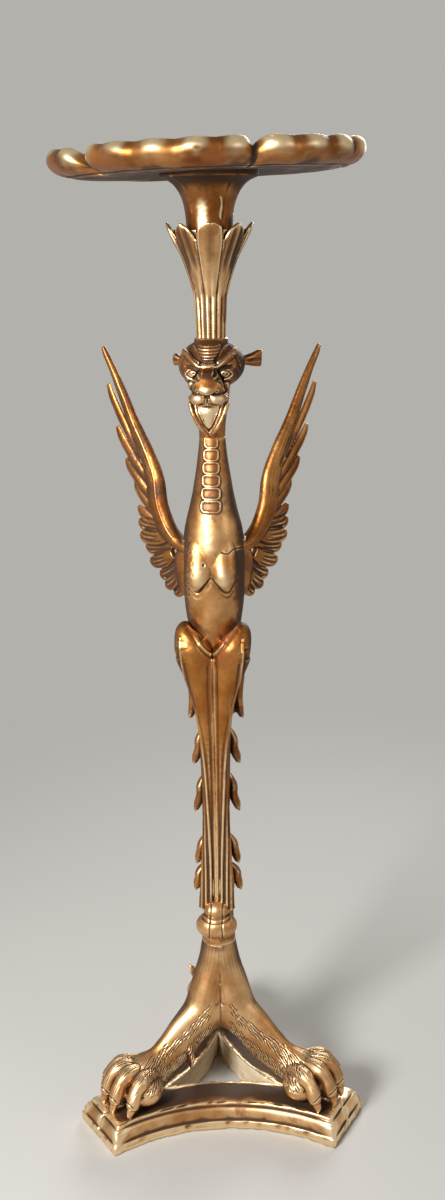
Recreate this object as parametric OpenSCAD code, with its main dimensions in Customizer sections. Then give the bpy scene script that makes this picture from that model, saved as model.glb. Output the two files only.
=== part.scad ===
// Carved and gilded griffin vase stand: three lion legs on a moulded plinth carry
// a long-necked winged griffin, which carries a petalled dish on its head.
// Origin on the floor under the stand's axis, +Z up, front towards -Y.

/* [Plinth] */
// Distance from the axis to each cut-off corner
plinth_reach = 176; // [166:1:185]
// Distance from the axis to the middle of each hollow side
plinth_waist = 82; // [76:1:90]
// Length of each cut-off corner
plinth_flat = 88; // [82:1:98]
// Height of the plinth
plinth_h = 32; // [26:1:40]
// How far the moulding steps in from floor to top
mould_in = 9; // [5:0.5:12]
// Height of the plain band under the moulding
fascia_h = 11; // [6:0.5:14]
// Distance from the axis to the middle of each side of the opening
opening_in = 30; // [26:1:32]

/* [Legs] */
// Height of the legs, plinth to column
leg_h = 183; // [165:1:200]
// Radius of the hub where the legs meet the column
hub_r = 20.5; // [17:0.5:22]
// Distance from the axis to the middle of each ball
ball_reach = 119; // [112:1:124]
// Radius of the ball under each paw
ball_r = 26; // [22:0.5:28]
// Half width of the leg at the ankle
ankle_w = 14; // [12:0.5:18]
// Turn of the plinth and legs towards the right
base_turn = 2; // [0:0.5:5]

/* [Column] */
// Height of the column, hub to belly
column_h = 375; // [340:1:410]
// Radius of the column at its slimmest
column_r = 15; // [14:0.5:17]
// Half width of the bud on the front of the column
bud_w = 25; // [22:0.5:28]
// Half width across the two knees
knee_w = 44; // [40:0.5:48]
// Distance that the tail curls stand out behind
curl_reach = 54; // [46:1:60]

/* [Griffin] */
// Height of the torso, belly to throat
torso_h = 249; // [230:1:270]
// Half width of the chest
chest_w = 35.5; // [32:0.5:38]
// Half width of the belly where it meets the column
belly_w = 25; // [22:0.5:28]
// Radius of the neck under the head
neck_r = 14.5; // [13:0.5:17]
// Height of the head
head_h = 105; // [95:1:115]
// Half width of the skull
head_w = 37; // [33:0.5:40]
// Turn of the griffin towards its right
gaze = 6; // [0:1:12]
// Reach of each wing along its own plane
wing_reach = 119; // [105:1:130]
// Height of each wing tip over its shoulder
wing_rise = 222; // [200:1:235]
// Angle at which the wings sweep back
wing_sweep = 38; // [28:1:46]

/* [Calyx and dish] */
// Height of the calyx, crown to leaf tips
calyx_h = 124; // [112:1:136]
// Radius of the reeded shaft
shaft_r = 16; // [14.5:0.5:18]
// Distance from the axis to the tips of the pointed leaves
calyx_reach = 46.5; // [43:0.5:50]
// Height of the flared neck over the leaf tips
flare_h = 45; // [36:1:55]
// Radius of the flared neck where it leaves the leaves
flare_r = 25; // [23:0.5:26]
// Radius of the flared neck's top
flare_top_r = 52; // [44:0.5:54]
// Radius of the dish over its petals
dish_r = 171; // [150:1:178]
// Height of the dish
dish_h = 33; // [28:0.5:38]
// Thickness of the dish's floor
dish_floor = 11; // [10:0.5:14]
// Lean of the dish, its left side low
dish_lean = 1.5; // [0:0.5:3]
// Depth of the notches between the petals, as a share of the radius
notch = 0.15; // [0.08:0.01:0.2]

/* [Joints] */
// Radius of the main dowels
dowel_r = 7; // [5:0.5:8]
// Room round a dowel or screw in its bore
dowel_gap = 0.2; // [0.1:0.05:0.4]
// Gap between glued carved faces
seat_gap = 0.3; // [0.1:0.1:0.5]

/* [Hidden] */

gilt = "#c79a4e";
worn_gilt = "#d8b274";
dark_gilt = "#9c6b35";
raw_wood = "#d9c09a";
steel = "#8a8a88";

hub_z = plinth_h + leg_h;
belly_z = hub_z + column_h;
throat_z = belly_z + torso_h;
crown_z = throat_z + head_h;
leaf_z = crown_z + calyx_h;
dish_z = leaf_z + flare_h;
far = 400;

function mix(a, b, t) = a + (b - a) * t;
function unit(v) = v / norm(v);

// Smooth curve through the stations p, for t from 0 to 1
function spline(p, t) =
    let (n = len(p) - 1, s = min(max(t, 0) * n, n - 1e-6), i = floor(s), u = s - i,
         a = p[max(i - 1, 0)], b = p[i], c = p[i + 1], d = p[min(i + 2, n)])
    b + u * ((c - a) / 2 + u * ((2 * a - 5 * b + 4 * c - d) / 2
        + u * (3 * b - 3 * c + d - a) / 2));

// Closed skin over rings of points, with a flat fan over each end
module skin(rings) {
    n = len(rings[0]);
    m = len(rings);
    middles = [for (r = [rings[0], rings[m - 1]])
        [for (k = [0:2]) [for (p = r) p[k]] * [for (p = r) 1] / n]];
    sides = [for (i = [0:m - 2], j = [0:n - 1])
        let (a = i * n + j, b = i * n + (j + 1) % n)
        each [[a, a + n, b + n], [a, b + n, b]]];
    foot = [for (j = [0:n - 1]) [m * n, j, (j + 1) % n]];
    top = [for (j = [0:n - 1]) [m * n + 1, (m - 1) * n + (j + 1) % n, (m - 1) * n + j]];
    polyhedron(concat([for (r = rings) each r], middles), concat(sides, foot, top));
}

// Rounded limb through stations [x, y, z, half width, half depth];
// across is the way in which the half width is measured
module limb(stations, steps = 10, sides = 10, across = [0, 1, 0]) {
    skin([for (i = [0:steps])
        let (t = i / steps, p = spline(stations, t),
             q = spline(stations, t + 0.01) - spline(stations, t - 0.01),
             along = unit([q.x, q.y, q.z]),
             up = unit(cross(along, across)), out = cross(up, along))
        [for (j = [0:sides - 1])
            let (a = 360 * j / sides)
            [p.x, p.y, p.z] + out * p[3] * cos(a) + up * p[4] * sin(a)]]);
}

// Ball with three half sizes
module egg(at, half, steps = 8, sides = 14) {
    translate(at) skin([for (i = [0:steps])
        let (a = mix(-82, 82, i / steps))
        [for (j = [0:sides - 1])
            let (b = 360 * j / sides)
            [half.x * cos(a) * cos(b), half.y * cos(a) * sin(b), half.z * sin(a)]]]);
}

// One carved surface, at its own size
module carved() {
    resize([0, 0, 0]) children();
}

module peg(r, z0, z1) {
    translate([0, 0, z0]) cylinder(r = r, h = z1 - z0, $fn = 48);
}

// Plinth: three boards mitred at the cut-off corners, with dowels across the mitres
side_x = plinth_reach * cos(30) - plinth_flat / 2 * sin(30);
side_sag = plinth_reach * sin(30) + plinth_flat / 2 * cos(30) - plinth_waist;
side_r = (side_x * side_x + side_sag * side_sag) / (2 * side_sag);
lip_h = plinth_h * 0.16;
opening_r = 260;
mitre_turns = [330, 210];
mitre_dowel_r = 4;
mitre_dowel_len = 30;
mitre_dowel_reaches = [ball_reach - 22, ball_reach + 31];
screw_r = 2.5;
screw_side = 12;
screw_head_r = 5;
screw_head_h = 3;
screw_sink = 8;
screw_len = plinth_h - screw_sink + ball_r;

// Moulding in section: distance in from the edge, height
moulding = concat(
    [[0, -1], [0, fascia_h], [mould_in * 0.2, fascia_h + 1]],
    [for (a = [15:15:90])
        [mould_in * mix(0.2, 0.8, 1 - cos(a)),
         mix(fascia_h + 1, plinth_h - lip_h, sin(a))]],
    [[mould_in, plinth_h - lip_h], [mould_in, plinth_h + 1]]);

// One mitred third of the plinth, before boring
module board_blank() {
    difference() {
        linear_extrude(plinth_h)
            polygon([[0, 0], [far * cos(30), -far * sin(30)], [-far * cos(30), -far * sin(30)]]);
        // Hollow side
        translate([0, -plinth_waist - side_r]) rotate_extrude($fn = 120)
            polygon(concat([[0, -1]], [for (p = moulding) [side_r + p[0], p[1]]],
                [[0, plinth_h + 1]]));
        // Cut-off corners
        for (mitre = mitre_turns) rotate(mitre) rotate([90, 0, 0])
            linear_extrude(2 * far, center = true)
                polygon(concat([[far + 1, -1]], [for (p = moulding) [plinth_reach - p[0], p[1]]],
                    [[far + 1, plinth_h + 1]]));
        // Opening in the middle, its three sides bowed inwards
        translate([0, 0, -1]) linear_extrude(plinth_h + 2)
            difference() {
                circle(r = ball_reach);
                for (turn = [30, 150, 270]) rotate(turn)
                    translate([opening_in + opening_r, 0])
                        circle(r = opening_r, $fn = 120);
            }
    }
}

module board(turn) {
    color(gilt) rotate(turn + base_turn) difference() {
        carved() board_blank();
        for (mitre = mitre_turns) rotate(mitre) {
            for (reach = mitre_dowel_reaches)
                translate([reach, 0, plinth_h / 2]) rotate([90, 0, 0])
                    cylinder(r = mitre_dowel_r + dowel_gap,
                        h = mitre_dowel_len + 2, center = true, $fn = 32);
            for (s = [-1, 1]) translate([ball_reach, s * screw_side]) {
                peg(screw_r + dowel_gap, -1, plinth_h + 1);
                peg(screw_head_r + 1, -1, screw_sink);
            }
        }
    }
}

module plinth_dowels() {
    color(raw_wood) for (turn = [90, 210, 330], reach = mitre_dowel_reaches)
        rotate(turn + base_turn) translate([reach, 0, plinth_h / 2]) rotate([90, 0, 0])
            cylinder(r = mitre_dowel_r, h = mitre_dowel_len, center = true, $fn = 32);
}

// Legs: x runs out from the axis, y across the leg
function leg_z(t) = plinth_h + leg_h * t;
claw_z = plinth_h + 2;
inner_toe = 11;
outer_toe = 33;

// Toe that arches from the foot over the ball, down to the claw
module toe(s, reach, rise, wide) {
    limb([
        [reach - 54, s * 0.5, plinth_h + rise - 12, wide, wide],
        [reach - 38, s * 0.72, plinth_h + rise - 3, wide * 1.05, wide * 1.05],
        [reach - 20, s * 0.95, plinth_h + rise - 6, wide * 1.1, wide * 1.1],
        [reach - 8, s, plinth_h + rise * 0.55, wide * 0.92, wide * 0.95],
        [reach - 3, s, plinth_h + rise * 0.3, wide * 0.62, wide * 0.66],
        [reach, s, claw_z, 1.4, 1.4]], 7, 8);
}

module tuft(root, tip, wide) {
    limb([
        concat(root, [wide, wide]),
        concat(mix(root, tip, 0.4) + [-2, 0, 0], [wide * 0.9, wide * 0.8]),
        concat(tip, [1, 1])], 3, 6);
}

module leg_carving(spur) {
    limb([
        [0, 0, hub_z + 6, hub_r, hub_r],
        [0, 0, hub_z, hub_r, hub_r],
        [0.02 * ball_reach, 0, leg_z(0.84), hub_r * 1.1, hub_r * 1.2],
        [0.08 * ball_reach, 0, leg_z(0.67), hub_r * 1.2, hub_r * 1.38],
        [0.17 * ball_reach, 0, leg_z(0.49), hub_r * 1.2, hub_r * 1.52],
        [0.4 * ball_reach, 0, leg_z(0.365), ankle_w * 1.3, hub_r * 1.42],
        [0.6 * ball_reach, 0, leg_z(0.262), ankle_w * 1.1, hub_r * 1.28],
        [0.76 * ball_reach, 0, leg_z(0.2), ankle_w * 1.1, hub_r * 1.25],
        [0.94 * ball_reach, 0, leg_z(0.17), ankle_w * 1.7, hub_r * 1.3],
        [1.1 * ball_reach, 0, leg_z(0.14), ankle_w * 1.6, hub_r * 0.9]], 14, 12);
    // Ball, flattened where it stands on the plinth
    egg([ball_reach + 3, 0, plinth_h + ball_r * 0.8],
        [ball_r * 0.95, ball_r * 1.35, ball_r * 0.9], 7, 12);
    for (s = [-1, 1]) {
        toe(s * inner_toe, ball_reach + 43, ball_r * 1.75, ankle_w * 0.72);
        toe(s * outer_toe, ball_reach + 28, ball_r * 1.4, ankle_w * 0.68);
        tuft([0.54 * ball_reach, s * 6, leg_z(0.17)], [0.46 * ball_reach, s * 10, leg_z(0.09)], 6);
    }
    tuft([0.5 * ball_reach, 0, leg_z(0.2)], [0.4 * ball_reach, 0, leg_z(0.13)], 6);
    if (spur)
        tuft([hub_r, hub_r * 1.1, leg_z(0.64)], [hub_r, hub_r * 1.75, leg_z(0.75)], 5);
}

module leg(turn, spur = false) {
    color(gilt) rotate(turn + base_turn) difference() {
        carved() intersection() {
            leg_carving(spur);
            translate([0, 0, plinth_h]) linear_extrude(leg_h)
                polygon([[0, 0], [far, -far * tan(60)], [far, far * tan(60)]]);
        }
        peg(dowel_r + dowel_gap, hub_z - hub_dowel_len / 2 - 1, hub_z + 1);
        for (s = [-1, 1]) translate([ball_reach, s * screw_side])
            peg(screw_r + dowel_gap, 0, screw_sink + screw_len + 1);
    }
}

module leg_screws() {
    color(steel) for (turn = [90, 210, 330], s = [-1, 1])
        rotate(turn + base_turn) translate([ball_reach, s * screw_side]) {
            peg(screw_r, screw_sink - 1, screw_sink + screw_len);
            peg(screw_head_r, screw_sink - screw_head_h, screw_sink);
        }
}

// Dowels on the axis
hub_dowel_len = 64;
waist_dowel_len = 60;
neck_dowel_len = 50;
crown_dowel_len = 44;

module axis_bore(z, len) {
    peg(dowel_r + dowel_gap, z - len / 2 - 1, z + len / 2 + 1);
}

module axis_dowel(z, len) {
    color(raw_wood) peg(dowel_r, z - len / 2, z + len / 2);
}

// Column: half widths at equal steps from hub to belly
column_shape = [
    hub_r, column_r * 1.22, column_r * 1.36, column_r * 1.08, column_r,
    column_r * 1.04, column_r * 1.08, column_r * 1.14, column_r * 1.25,
    mix(column_r * 1.25, belly_w, 0.5), belly_w];
belly_y = 3;
function column_half(z) = spline(column_shape, (z - hub_z) / column_h);

module column_skin(grow = 0) {
    limb([for (i = [0:10])
        let (r = column_shape[i] + grow, end = grow * (i == 10 ? 1 : i == 0 ? -1 : 0))
        [0, belly_y * pow(i / 10, 3), hub_z + column_h * i / 10 + end, r, r * mix(1, 1.12, pow(i / 10, 3))]],
        18, 14, [1, 0, 0]);
}

module column() {
    color(gilt) difference() {
        carved() column_skin();
        axis_bore(hub_z, hub_dowel_len);
        axis_bore(belly_z, waist_dowel_len);
    }
}

// Bud of two balls on the front of the column
bud_z = hub_z + 32;

module bud() {
    color(worn_gilt) carved() difference() {
        rotate(-gaze) {
            egg([0, -25, bud_z], [bud_w, 20, bud_w * 0.7], 8, 16);
            egg([0, -21, bud_z + bud_w * 0.72], [bud_w * 0.62, 15, bud_w * 0.52], 6, 12);
        }
        column_skin(seat_gap);
    }
}

// Folded hind legs: from a knee at each side they narrow down the front of the
// column, side by side; each row is [height, outer edge, inner edge, front, half depth]
knee_stretch = column_h / 375;
knee_rows = [
    [36, 0.8 * knee_w, 0.64 * knee_w, -17, 4], [27, 0.97 * knee_w, 0.5 * knee_w, -34, 13],
    [13, knee_w, 0.22 * knee_w, -44, 18], [0, 0.96 * knee_w, 0, -44, 18],
    [-44, 0.6 * knee_w, 0, -38, 15], [-86, 0.43 * knee_w, 0, -31, 12],
    [-140, 0.37 * knee_w, 0, -24, 9], [-200, 0.35 * knee_w, 0, -20.5, 7],
    [-268, 0.41 * knee_w, 0, -21, 6], [-325, 0.48 * knee_w, 0, -25, 7]];

module knee_skin(s, grow = 0) {
    limb([for (p = knee_rows)
        [s * (p[1] + p[2]) / 2, p[3] + p[4], belly_z + p[0] * knee_stretch,
         (p[1] - p[2]) / 2 + 1 + grow, p[4] + grow]],
        16, 10, [1, 0, 0]);
}

module knee(s) {
    color(gilt) carved() difference() {
        rotate(-gaze) intersection() {
            knee_skin(s);
            // The two legs meet on the middle plane
            translate([s > 0 ? seat_gap / 2 : -seat_gap / 2 - far, -far, 0])
                cube([far, 2 * far, belly_z + far]);
        }
        column_skin(seat_gap);
        torso_skin(seat_gap);
        bud_room();
    }
}

// Space that the bud takes, for what ends above it
module bud_room() {
    translate([-far, -far, 0]) cube([2 * far, 2 * far, bud_z + bud_w * 1.3]);
}

// Curls of the tail behind the column
upper_curl_z = belly_z - 17;
lower_curl_z = belly_z - 54;

module curl_skin(z, reach, high, grow = 0) {
    deep = reach / 2 - 6;
    room = grow * [1, 1, 1];
    rotate(-gaze) {
        egg([0, reach - deep, z], [high * 1.2, deep, high] + room, 6, 12);
        egg([0, reach - 1.5 * deep, z + high * 0.6],
            [high * 1.5, deep * 0.8, high * 0.7] + room, 6, 10);
    }
}

module upper_curl_skin(grow = 0) {
    curl_skin(upper_curl_z, curl_reach, 17.6, grow);
}

module lower_curl_skin(grow = 0) {
    curl_skin(lower_curl_z, curl_reach - 3, 15.3, grow);
}

module seated_curl() {
    color(dark_gilt) carved() difference() {
        children();
        column_skin(seat_gap);
        torso_skin(seat_gap);
    }
}

// Husks: leaves that hug the back of the column and flare out at their tips;
// each row is [height of the tips, length, reach of the tips, turns of the leaves
// from the back, height of the band that joins them as a share of the length,
// half thickness of that band]
husks = [
    [belly_z - 86 * knee_stretch, 76, column_r * 2.2, [-74, 74], 0.12, 7],
    [belly_z - 143 * knee_stretch, 44, column_r * 1.9, [-74, 0, 74], 0.6, 4],
    [belly_z - 204 * knee_stretch, 48, column_r * 1.84, [-74, 0, 74], 0.6, 4],
    [hub_z + 102, 38, column_r * 1.76, [-74, 0, 74], 0.6, 4],
    [hub_z + 66, 34, column_r * 1.9, [-74, 0, 74], 0.6, 4]];
band_turn = 63;

module husk(i) {
    z = husks[i][0];
    len = husks[i][1];
    tip = husks[i][2];
    band_z = z + len * husks[i][4];
    k = column_r / 15;
    color(dark_gilt) carved() difference() {
        union() {
            for (turn = husks[i][3]) rotate(-turn) limb([
                [0, column_half(z + len) - 3, z + len, 3 * k, 2 * k],
                [0, column_half(z + len * 0.7) + 2, z + len * 0.7, 9 * k, 5 * k],
                [0, mix(column_half(z), tip, 0.3), z + len * 0.4, 11 * k, 5 * k],
                [0, mix(column_half(z), tip, 0.62), z + len * 0.14, 10 * k, 4.5 * k],
                [0, tip - 2.5 * k, z, 8 * k, 2.5 * k]], 6, 6, [1, 0, 0]);
            translate([0, 0, band_z]) rotate(90 - band_turn)
                rotate_extrude(angle = 2 * band_turn, $fn = 22)
                    translate([column_half(band_z) + husks[i][5] - 4, 0])
                        scale([husks[i][5], 8.4]) circle(r = 1, $fn = 9);
        }
        column_skin(seat_gap);
        upper_curl_skin(seat_gap);
        lower_curl_skin(seat_gap);
        for (s = [-1, 1]) rotate(-gaze) knee_skin(s, seat_gap);
    }
}

// Torso: rings at equal steps from belly to throat, each [half width, front, back]
deep = chest_w / 35.5;
torso_shape = [
    [belly_w, belly_w, belly_w * 1.2], [chest_w * 0.8, 26 * deep, 37 * deep],
    [chest_w * 0.9, 28 * deep, 36 * deep], [chest_w * 0.97, 30 * deep, 31 * deep],
    [chest_w, 33 * deep, 28 * deep], [chest_w * 0.99, 36 * deep, 27 * deep],
    [chest_w * 0.98, 37 * deep, 27 * deep], [chest_w * 0.92, 35 * deep, 26 * deep],
    [chest_w * 0.78, 31 * deep, 23 * deep], [chest_w * 0.65, 26 * deep, 20 * deep],
    [chest_w * 0.545, 22 * deep, 18 * deep], [neck_r * 1.13, neck_r * 1.27, neck_r * 1.07],
    [neck_r, neck_r * 1.08, neck_r * 0.92]];
torso_rings = 17;
torso_sides = 22;

module torso_skin(grow = 0) {
    skin([for (i = [0:torso_rings])
        let (t = i / torso_rings, p = spline(torso_shape, t),
             end = grow * (i == torso_rings ? 1 : i == 0 ? -1 : 0))
        [for (j = [0:torso_sides - 1])
            let (a = 360 * j / torso_sides)
            [(p[0] + grow) * cos(a), (grow + (a > 180 ? p[1] : p[2])) * sin(a),
             belly_z + torso_h * t + end]]]);
}

breast_z = belly_z + torso_h * 0.36;
plate_high = 7;
plate_z = throat_z - plate_high - 0.5;
plate_step = 14;
plates = 6;

module torso() {
    color(worn_gilt) difference() {
        carved() union() {
            torso_skin();
            rotate(-gaze) {
                translate([0, 0, breast_z]) scale(deep) for (s = [-1, 1]) limb([
                    [s * 8, -25, 58, 5, 6], [s * 12, -28, 36, 12, 10],
                    [s * 13.5, -29.5, 12, 13.5, 11.5], [s * 16, -30.5, -2, 9, 9],
                    [s * 18, -33, -11, 1.5, 2]], 6, 10, [1, 0, 0]);
                for (i = [0:plates - 1]) {
                    z = plate_z - plate_step * i;
                    p = spline(torso_shape, (z - belly_z) / torso_h);
                    egg([0, -p[1] + 2, z], [mix(7.5, 11, i / (plates - 1)), 4, plate_high], 4, 8);
                }
            }
        }
        axis_bore(belly_z, waist_dowel_len);
        axis_bore(throat_z, neck_dowel_len);
        wing_dowel_places() wing_dowel(dowel_gap);
    }
}

// Wings: drawn in their own plane, u out from the shoulder and v up from it
shoulder_z = belly_z + torso_h * 0.49;
shoulder_x = chest_w - 3.5;
wing_dowel_r = 4;
wing_dowel_len = 22;
wing_dowel_zs = [shoulder_z + 4, shoulder_z - 28];

// arm of the wing: [u, v, half width, half thickness]
wing_arm = [
    [-6, 0, 9, 10], [9, 4, 9, 10], [26, 18, 11, 9.5], [39, 44, 12.5, 9.5],
    [44, 76, 12, 8.5], [57, 106, 10, 7], [73, 135, 8, 6], [88, 166, 6.5, 5],
    [103, 195, 5, 4], [113, 212, 4, 3], [117, 220, 2.5, 2]];
// feathers: [root u, root v, tip u, tip v, half width]
feathers = [
    [64, 96, 112, 178, 5.5], [54, 70, 100, 130, 6], [48, 50, 87, 94, 6.5],
    [44, 34, 74, 68, 6.5], [40, 20, 70, 40, 7]];
coverts = [
    [28, 20, 72, 22, 9.5], [24, 10, 66, 8, 9.5], [20, 0, 62, -6, 9.5],
    [16, -10, 52, -22, 9.5], [10, -20, 42, -38, 9.5], [6, -30, 30, -48, 9],
    [2, -36, 21, -58, 8]];

module on_wing(s) {
    k = wing_reach / 119;
    multmatrix([
        [s * cos(wing_sweep) * k, 0, s * -sin(wing_sweep) * k, s * shoulder_x],
        [sin(wing_sweep) * k, 0, cos(wing_sweep) * k, 2],
        [0, wing_rise / 222, 0, shoulder_z],
        [0, 0, 0, 1]]) children();
}

module blade(p, back, thick) {
    bow = unit([p[3] - p[1], p[0] - p[2]]) * 3;
    limb([
        [p[0], p[1], back, p[4] * 0.7, thick],
        [mix(p[0], p[2], 0.4) + bow.x, mix(p[1], p[3], 0.4) + bow.y, back, p[4], thick],
        [mix(p[0], p[2], 0.8) + bow.x, mix(p[1], p[3], 0.8) + bow.y, back, p[4] * 0.85, thick * 0.8],
        [p[2], p[3], back, 2.4, 1.2]], 5, 6, [0, 0, 1]);
}

module wing(s) {
    color(dark_gilt) difference() {
        carved() difference() {
            on_wing(s) {
                limb([for (p = wing_arm) [p[0], p[1], 0, p[3], p[2]]], 16, 10, [0, 0, 1]);
                for (p = feathers) blade([p[0], p[1], p[2], p[3], 3], 2, p[4]);
                for (i = [0:len(coverts) - 1]) {
                    p = coverts[i];
                    blade([p[0], p[1], p[2], p[3], 4.5], i % 2 == 0 ? 3 : -2, p[4]);
                }
                // Root against the side of the chest
                limb([[-4, 10, 0, 9, 8], [2, -14, 0, 9, 12], [0, -36, 0, 8, 13], [-3, -56, 0, 6, 7]],
                    5, 8, [0, 0, 1]);
            }
            torso_skin(seat_gap);
        }
        wing_dowel_places() wing_dowel(dowel_gap);
    }
}

module wing_dowel_places() {
    for (s = [-1, 1], z = wing_dowel_zs)
        translate([s * (shoulder_x + 1), 2, z]) rotate(s * wing_sweep) rotate([0, 90, 0])
            children();
}

module wing_dowel(grow = 0) {
    cylinder(r = wing_dowel_r + grow, h = wing_dowel_len + 5 * grow, center = true, $fn = 32);
}

// Head: masses in its own frame, z up from the throat
head_k = [head_w / 37, head_w / 37, head_h / 105];

module skull(grow = 0) {
    egg([0, 4 * head_k.y, 74 * head_k.z],
        [head_w + grow, 38 * head_k.y + grow, 31 * head_k.z + grow], 10, 16);
}

module head_masses() {
    skull();
    // Neck, and the boss under the calyx
    limb([[0, 0, -2, neck_r, neck_r], [0, 0, head_h * 0.13, neck_r * 1.05, neck_r * 1.1],
        [0, 0, head_h * 0.38, neck_r * 1.3, neck_r * 1.3],
        [0, 3 * head_k.y, head_h * 0.52, neck_r * 1.4, neck_r * 1.4]], 4, 16, [1, 0, 0]);
    limb([[0, 2, head_h * 0.84, shaft_r + 10, shaft_r + 10],
        [0, 0, head_h * 0.95, shaft_r + 5, shaft_r + 5],
        [0, 0, head_h + 1, shaft_r + 3, shaft_r + 3]], 3, 16, [1, 0, 0]);
    scale(head_k) {
        // Lower jaw and hanging chin
        egg([0, -24, 46], [21, 24, 14], 6, 12);
        limb([[0, -30, 42, 17, 12], [0, -34, 30, 15, 9], [0, -31, 16, 9, 7],
            [0, -27, 6, 4, 5], [0, -26, 4, 2, 3]], 7, 10, [1, 0, 0]);
        // Muzzle, lips
        limb([[0, -18, 70, 20, 13], [0, -32, 64, 17, 14], [0, -44, 57, 16, 12],
            [0, -51, 52, 10, 8], [0, -53, 50, 3, 3]], 7, 12, [1, 0, 0]);
        for (s = [-1, 1]) {
            egg([s * 11, -43, 45], [10, 9, 7], 5, 10);
            // Rims of the chin
            limb([[s * 20, -32, 42, 3, 3], [s * 17, -37, 32, 3, 3],
                [s * 9, -36, 15, 3, 3], [0, -32, 5, 2.5, 2.5]], 5, 6, [1, 0, 0]);
            // Cheek and brow
            egg([s * 20, -18, 69], [12, 14, 13], 5, 10);
            limb([[s * 27, -18, 93, 3, 3.5], [s * 20, -26, 86, 4, 4.5],
                [s * 11, -33, 80, 4, 4.5], [s * -3, -34.5, 78, 4, 4.5]], 5, 6, [1, 0, 0]);
        }
        // Brow panel
        limb([[0, -14, 101, 10, 6], [0, -24, 94, 10, 6], [0, -31, 84, 7, 5]],
            4, 8, [1, 0, 0]);
    }
}

module head() {
    color(worn_gilt) difference() {
        carved() intersection() {
            translate([0, 0, throat_z]) rotate(-gaze) head_masses();
            translate([-far, -far, throat_z]) cube([2 * far, 2 * far, head_h]);
        }
        axis_bore(throat_z, neck_dowel_len);
        axis_bore(crown_z, crown_dowel_len);
    }
}

// Ears: [out, back, up, half width, half thickness] from the side of the skull
module ear(s, reach, high) {
    k = head_h / 105;
    color(dark_gilt) carved() difference() {
        translate([0, 0, throat_z]) rotate(-gaze)
            limb([[s * (head_w - 8), 6, 80 * k, 5, 5], [s * (head_w - 1), 10, 82 * k, high * 0.7, 4],
                [s * mix(head_w, reach, 0.5), 14, 83 * k, high, 4],
                [s * (reach - 2), 17, 84 * k, high, 3], [s * reach, 18, 84 * k, high * 0.7, 1]],
                6, 10, [0, 0, 1]);
        translate([0, 0, throat_z]) rotate(-gaze)
            skull(seat_gap);
    }
}

// Calyx: reeded shaft that opens into eight leaves
reeds = 12;
reed_points = 4;
calyx_seat_z = leaf_z - calyx_h * 0.28;
tenon_r = 10;
tenon_len = 20;
shaft_shape = [shaft_r, shaft_r * 1.02, shaft_r * 1.07, shaft_r * 1.14, shaft_r * 1.28,
    shaft_r * 1.55, shaft_r * 1.95, calyx_reach - 8];
cup_h = calyx_h * 0.94;

// Leaf that widens as it flares, with a rounded or a pointed end
module calyx_leaf(turn, reach, top, wide, blunt) {
    rotate(turn) limb([
        [shaft_r * 0.8, 0, crown_z + calyx_h * 0.3, 3, 3],
        [shaft_r * 1.15, 0, crown_z + calyx_h * 0.5, wide * 0.6, 4],
        [shaft_r * 1.6, 0, crown_z + calyx_h * 0.7, wide * 0.85, 4.5],
        [mix(shaft_r * 1.6, reach, 0.45), 0, crown_z + calyx_h * 0.84, wide, 4],
        [mix(shaft_r * 1.6, reach, 0.8), 0, mix(crown_z + calyx_h * 0.84, top, 0.65),
            wide * mix(0.7, 0.9, blunt), 3],
        [reach, 0, top, mix(1, 6, blunt), 1]], 6, 6);
}

module calyx() {
    color(gilt) difference() {
        carved() union() {
            skin([for (i = [0:7])
                let (t = i / 7, r = spline(shaft_shape, t))
                [for (j = [0:reed_points * reeds - 1])
                    let (a = 360 * j / (reed_points * reeds), d = r * (1 + 0.035 * cos(reeds * a)))
                    [d * cos(a), d * sin(a), crown_z + cup_h * t]]]);
            for (i = [0:3]) {
                calyx_leaf(90 * i - 45, calyx_reach - 2, leaf_z - 1, 14, 0);
                calyx_leaf(90 * i, calyx_reach, leaf_z, 15, 0.6);
            }
        }
        peg(flare_r + dowel_gap, calyx_seat_z, leaf_z + 20);
        peg(tenon_r + dowel_gap, calyx_seat_z - tenon_len - 1, calyx_seat_z + 1);
        axis_bore(crown_z, crown_dowel_len);
    }
}

// Flared neck, turned, with a tenon at each end
dish_tenon_r = 16;
dish_tenon_len = 7;

module flared_neck() {
    start = leaf_z - 6;
    color(gilt) {
        difference() {
            rotate_extrude($fn = 120) polygon(concat(
                [[0, calyx_seat_z], [flare_r, calyx_seat_z], [flare_r, start]],
                [for (a = [10:10:90])
                    [mix(flare_r, flare_top_r, 1 - cos(a)),
                     mix(start, dish_z, pow(sin(a), 0.9))]],
                [[flare_top_r, dish_z + 10], [0, dish_z + 10]]));
            translate([0, 0, dish_z]) rotate([0, -dish_lean, 0])
                translate([-far, -far, 0]) cube([2 * far, 2 * far, 60]);
        }
        peg(tenon_r, calyx_seat_z - tenon_len, calyx_seat_z + 1);
        translate([0, 0, dish_z]) rotate([0, -dish_lean, 0])
            peg(dish_tenon_r, -3, dish_tenon_len);
    }
}

// Dish: five petals with a rolled and knuckled rim
petals = 5;
petal_turn = 17.5;
scallops = 5;
seat_r = 60;
// section of the dish: [share of the radius, height, share of the petal outline]
dish_section = [
    [0.3, 0, 0], [0.56, 1, 0.35], [0.8, 3.5, 0.8], [0.93, 9, 1], [0.985, 16, 1],
    [1, dish_h - 10, 1], [0.99, dish_h - 4, 1], [0.96, dish_h, 1], [0.91, dish_h - 2, 1],
    [0.86, dish_h - 12, 1], [0.78, dish_floor + 3, 0.8], [seat_r / dish_r, dish_floor, 0]];
dish_sides = 3 * petals * scallops;

function petal(a) = 1 - notch * pow(1 - abs(sin(petals / 2 * (a + 90 - petal_turn))), 3);
function knuckle(a) = abs(sin(petals / 2 * scallops * (a + 90 - petal_turn)));

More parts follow.
